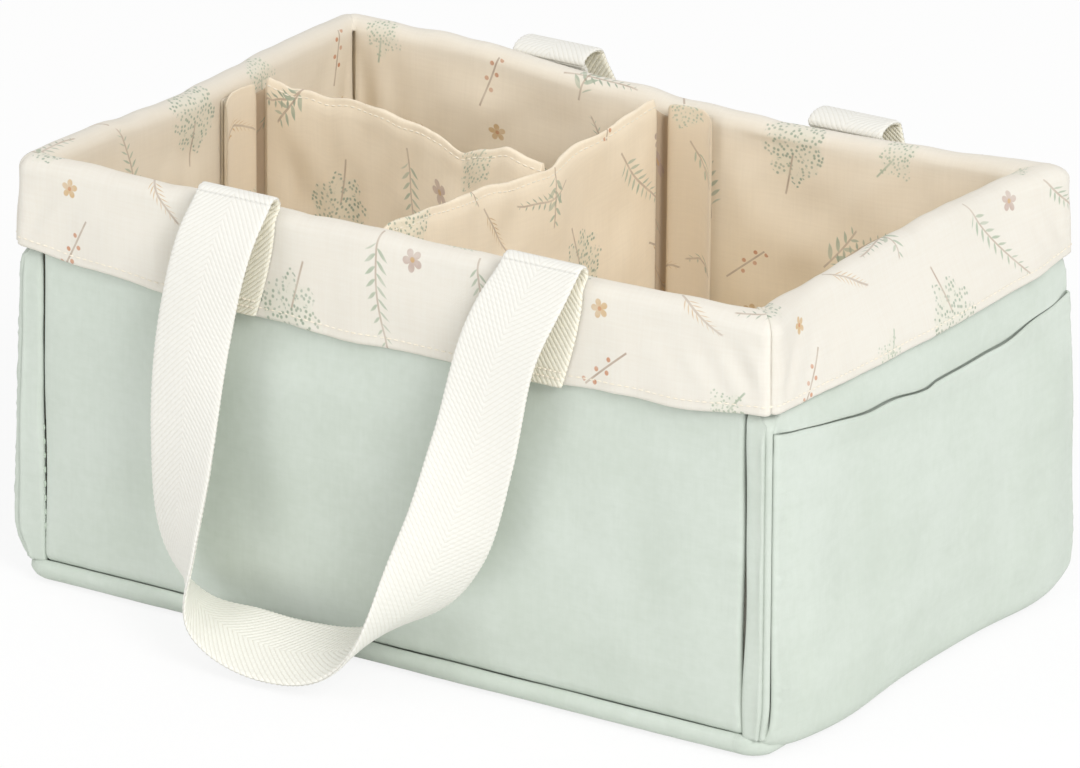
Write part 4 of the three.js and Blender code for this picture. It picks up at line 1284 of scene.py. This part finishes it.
# Stitches, laid along lines by a node tree
def make_stitch_tree():
    tree = bpy.data.node_groups.new("row of stitches", "GeometryNodeTree")
    tree.interface.new_socket("Geometry", in_out="INPUT", socket_type="NodeSocketGeometry")
    for label, kind, value in [
        ("Pitch", FLOAT, 0.0032), ("Stitch length", FLOAT, 0.0024), ("Thread width", FLOAT, 0.0006),
        ("Unevenness", FLOAT, 0.12), ("Seed", "NodeSocketInt", 5),
    ]:
        tree.interface.new_socket(label, in_out="INPUT", socket_type=kind).default_value = value
    tree.interface.new_socket("Thread", in_out="INPUT", socket_type="NodeSocketMaterial")
    tree.interface.new_socket("Geometry", in_out="OUTPUT", socket_type="NodeSocketGeometry")
    given = tree.nodes.new("NodeGroupInput").outputs
    width = given["Thread width"]
    curve = add_term(tree, "GeometryNodeMeshToCurve", {"Mesh": given["Geometry"]})
    inputs = {"Curve": curve, "Length": given["Pitch"]}
    spaced = add_term(tree, "GeometryNodeResampleCurve", inputs, mode="LENGTH")
    ball = add_term(tree, "GeometryNodeMeshUVSphere", {"Segments": 8, "Rings": 5, "Radius": 0.5})
    size = add_term(tree, "ShaderNodeCombineXYZ", {0: given["Stitch length"], 1: width, 2: width})
    stitch = add_term(tree, "GeometryNodeTransform", {"Geometry": ball, "Scale": size})
    along = add_term(tree, "GeometryNodeInputTangent", {})
    turn = add_term(tree, "FunctionNodeAlignRotationToVector", {"Vector": along}, axis="X")
    uneven = Term(tree, given["Unevenness"])
    inputs = {2: 1.0 - uneven, 3: uneven + 1.0, "Seed": given["Seed"]}
    luck = add_term(tree, "FunctionNodeRandomValue", inputs, 1, data_type="FLOAT")
    inputs = {"Points": spaced, "Instance": stitch, "Rotation": turn, "Scale": luck}
    row = add_term(tree, "GeometryNodeInstanceOnPoints", inputs)
    real = add_term(tree, "GeometryNodeRealizeInstances", {"Geometry": row})
    sewn = add_term(tree, "GeometryNodeSetMaterial", {"Geometry": real, "Material": given["Thread"]})
    return finish_group(tree, Geometry=sewn)


STITCH_TREE = make_stitch_tree()


def make_stitches(name, lines, thread, stitch, seed):
    """Rows of stitches along lines of points, as one mesh."""
    pitch, length, width = stitch
    points, edges = [], []
    for line in lines:
        start = len(points)
        points += (np.asarray(line) * MILLIMETRE).tolist()
        edges += [(start + k, start + k + 1) for k in range(len(line) - 1)]
    mesh = bpy.data.meshes.new(name)
    mesh.from_pydata(points, edges, [])
    piece = bpy.data.objects.new(name, mesh)
    bpy.context.scene.collection.objects.link(piece)
    rows = piece.modifiers.new("stitches", "NODES")
    rows.node_group = STITCH_TREE
    values = {"Pitch": pitch, "Stitch length": length, "Thread width": width, "Seed": seed, "Thread": thread}
    for socket in STITCH_TREE.interface.items_tree:
        if socket.in_out == "INPUT" and socket.name in values:
            rows[socket.identifier] = values[socket.name]
    seen = piece.evaluated_get(bpy.context.evaluated_depsgraph_get())
    sewn = bpy.data.meshes.new_from_object(seen)
    piece.modifiers.remove(rows)
    piece.data = sewn
    sewn.polygons.foreach_set("use_smooth", np.ones(len(sewn.polygons), bool))
    bpy.data.meshes.remove(mesh)
    return piece


# Put the caddy together
LININGS = {}
hem_rows = []
for name in WALLS:
    LININGS[name], row = make_lining(name)
    hem_rows.append(row)
PANELS = {name: (make_long_panel if is_long(wall) else make_end_panel)(name) for name, wall in WALLS.items()}
FOAMS = {name: make_foam_board(name) for name in WALLS}
POCKETS = {name: make_pocket(name) for name in ("left_end", "right_end")}
STRIPS = {}
strip_rows = []
for name, side_x, side_y, strip_seed in [
    ("front_left", -1, -1, 3), ("front_right", 1, -1, 4), ("back_left", -1, 1, 5), ("back_right", 1, 1, 6),
]:
    STRIPS[name], row = make_corner_strip(f"{name}_strip", side_x, side_y, strip_seed)
    # Only the left strips' stitches show
    if side_x < 0:
        strip_rows.append(row)
BASE_PAD = make_base_pad()
FLOOR_LINING = make_floor_lining()
CROSS_DIVIDER, cross_rows = make_divider(
    "cross_divider_cloth", cross_divider_stations(), 91, CROSS_CLOTH, 0.9)
LONG_DIVIDER, long_rows = make_divider(
    "long_divider_cloth", long_divider_stations(), 97, LONG_CLOTH, 2.0)
HANDLES = {}
tack_rows = []
for name in LONG_WALLS:
    HANDLES[name], rows = make_handle(name)
    tack_rows += rows
HEM_STITCHES = make_stitches("cuff_stitches", hem_rows, CREAM_THREAD, FINE_STITCH, 5)
TACK_STITCHES = make_stitches("handle_end_stitches", tack_rows, CREAM_THREAD, TACK_STITCH, 6)
STRIP_STITCHES = make_stitches("corner_stitches", strip_rows, SAGE_THREAD, LONG_STITCH, 8)
DIVIDER_STITCHES = make_stitches("divider_stitches", cross_rows + long_rows, CREAM_THREAD, FINE_STITCH, 7)


# Hang each piece on the body that carries it, and hide the solid it stands for
def declare(piece, node, body="caddy"):
    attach(piece, body)
    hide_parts(node)


for name, lining in LININGS.items():
    declare(lining, f"{name}_lining")
    length = 0.345 if is_long(WALLS[name]) else 0.225
for name, panel in PANELS.items():
    declare(panel, f"{name}_outer_panel")
for name, board in FOAMS.items():
    declare(board, f"{name}_foam_board")
for name, pocket in POCKETS.items():
    declare(pocket, f"{name}_pocket")
for name, strip in STRIPS.items():
    declare(strip, f"{name}_corner_binding")
declare(BASE_PAD, "base_outer_pad")
declare(FLOOR_LINING, "base_lining")
for divider, node in ((CROSS_DIVIDER, "cross_divider"), (LONG_DIVIDER, "long_divider")):
    declare(divider, node, "divider")


def fold_ends(name, part):
    """Where a fold starts and stops bending: below and behind its middle, and above and before it."""
    wall = WALLS[name]
    x = HANDLE_ASIDE + (HANDLE_SPREAD / 2 if part.startswith("right") else -HANDLE_SPREAD / 2)
    height = FOLD_HEIGHT - float(rim_sink(wall, x))
    out_way = -1 if name == "front" else 1
    out = wall["reach"] + FOLD_OUT
    return [
        (0, out_way * (out + step * FOLD_BEND_OUT) * MILLIMETRE, (height + step * FOLD_BEND_UP) * MILLIMETRE)
        for step in (-1, 1)
    ]


# The loop hangs on the handle's body and the sewn ends on the caddy; the folds are left where they lie
for name, straps in HANDLES.items():
    for part, (strap, length) in straps.items():
        if part.endswith("fold"):
            start, end = fold_ends(name, part)
            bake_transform(strap)
        elif part == "loop":
            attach(strap, f"{name}_handle")
        else:
            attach(strap, "caddy")
        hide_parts(f"{name}_handle_{part}")
for stitches, body, slot in (
    (HEM_STITCHES, "caddy", "lining_cotton"),
    (TACK_STITCHES, "caddy", "webbing"),
    (STRIP_STITCHES, "caddy", "outer_cotton"),
    (DIVIDER_STITCHES, "divider", "lining_cotton"),
):
    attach(stitches, body)

# Solids that stay as they are get their finish
for node_name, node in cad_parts.items():
    finish = BOARD if node_name == "base_board" else TAPE if node_name.endswith("_tape") else None
    if finish is not None:
        node.data.materials.clear()
        node.data.materials.append(finish)


# Floor, light and camera
FLOOR_SIDE = 9.0
FLOOR_DROP = 0.0004
FLOOR_GLOW = 0.85
WORLD_LIGHT = 0.7
LAMP_TARGET = Vector((0, 0, 0.09))
WHITE = (1, 1, 1, 1)
# The camera's turn to the right, its height above and its roll, all in degrees, then its place and its lens
CAMERA_ANGLES = (33.01, 20.03, 0.5)
CAMERA_PLACE = (1.811, -2.7926, 1.2972)
CAMERA_LENS = 296.6
CAMERA_SENSOR = 36.0


def seen_directly(tree):
    """1 for what is seen, straight or in or through something shiny, and 0 for what only gives light."""
    path = tree.nodes.new("ShaderNodeLightPath")
    straight, mirrored, through = (
        Term(tree, path.outputs[f"Is {kind} Ray"]) for kind in ("Camera", "Glossy", "Transmission")
    )
    return straight.math("MAXIMUM", mirrored).math("MAXIMUM", through)


def make_stage():
    mesh = bpy.data.meshes.new("floor")
    corners = [(x * FLOOR_SIDE, y * FLOOR_SIDE, 0) for x, y in ((-1, -1), (1, -1), (1, 1), (-1, 1))]
    mesh.from_pydata(corners, [], [(0, 1, 2, 3)])
    floor = bpy.data.objects.new("floor", mesh)
    floor.location.z = -FLOOR_DROP
    bpy.context.scene.collection.objects.link(floor)
    material = bpy.data.materials.new("pale floor")
    material.use_nodes = True
    tree = material.node_tree
    tree.nodes.clear()
    matt = add_term(tree, "ShaderNodeBsdfDiffuse", {"Color": (0.93, 0.93, 0.92, 1)})
    glow = add_term(tree, "ShaderNodeEmission", {"Color": WHITE, "Strength": 1.0})
    both = add_term(tree, "ShaderNodeMixShader", {0: seen_directly(tree) * FLOOR_GLOW, 1: matt, 2: glow})
    add_node(tree, "ShaderNodeOutputMaterial", {0: both})
    mesh.materials.append(material)


def make_world():
    world = bpy.data.worlds.new("studio")
    world.use_nodes = True
    tree = world.node_tree
    tree.nodes.clear()
    strength = seen_directly(tree) * (1.0 - WORLD_LIGHT) + WORLD_LIGHT
    sky = add_term(tree, "ShaderNodeBackground", {"Color": WHITE, "Strength": strength})
    add_node(tree, "ShaderNodeOutputWorld", {0: sky})
    bpy.context.scene.world = world


def make_lamp(name, place, size, power):
    lamp = bpy.data.lights.new(name, "AREA")
    lamp.shape = "DISK"
    lamp.size = size
    lamp.energy = power
    thing = bpy.data.objects.new(name, lamp)
    thing.location = place
    thing.rotation_euler = (LAMP_TARGET - Vector(place)).to_track_quat("-Z", "Y").to_euler()
    bpy.context.scene.collection.objects.link(thing)


def make_camera():
    around, above, roll = (math.radians(angle) for angle in CAMERA_ANGLES)
    back = Vector((math.sin(around) * math.cos(above), -math.cos(around) * math.cos(above), math.sin(above)))
    right = Vector((math.cos(around), math.sin(around), 0))
    up = back.cross(right)
    right, up = (math.cos(roll) * right + math.sin(roll) * up, math.cos(roll) * up - math.sin(roll) * right)
    lens = bpy.data.cameras.new("camera")
    lens.lens = CAMERA_LENS
    lens.sensor_width = CAMERA_SENSOR
    camera = bpy.data.objects.new("camera", lens)
    turn = Matrix((right, up, back)).transposed().to_4x4()
    turn.translation = Vector(CAMERA_PLACE)
    camera.matrix_world = turn
    bpy.context.scene.collection.objects.link(camera)
    bpy.context.scene.camera = camera


make_stage()
make_world()
make_lamp("key", (2.8, -1.5, 2.4), 1.8, 80.0)
make_lamp("fill", (-1.6, -3.0, 1.6), 2.0, 19.0)
make_camera()
bpy.context.scene.view_settings.view_transform = "Standard"
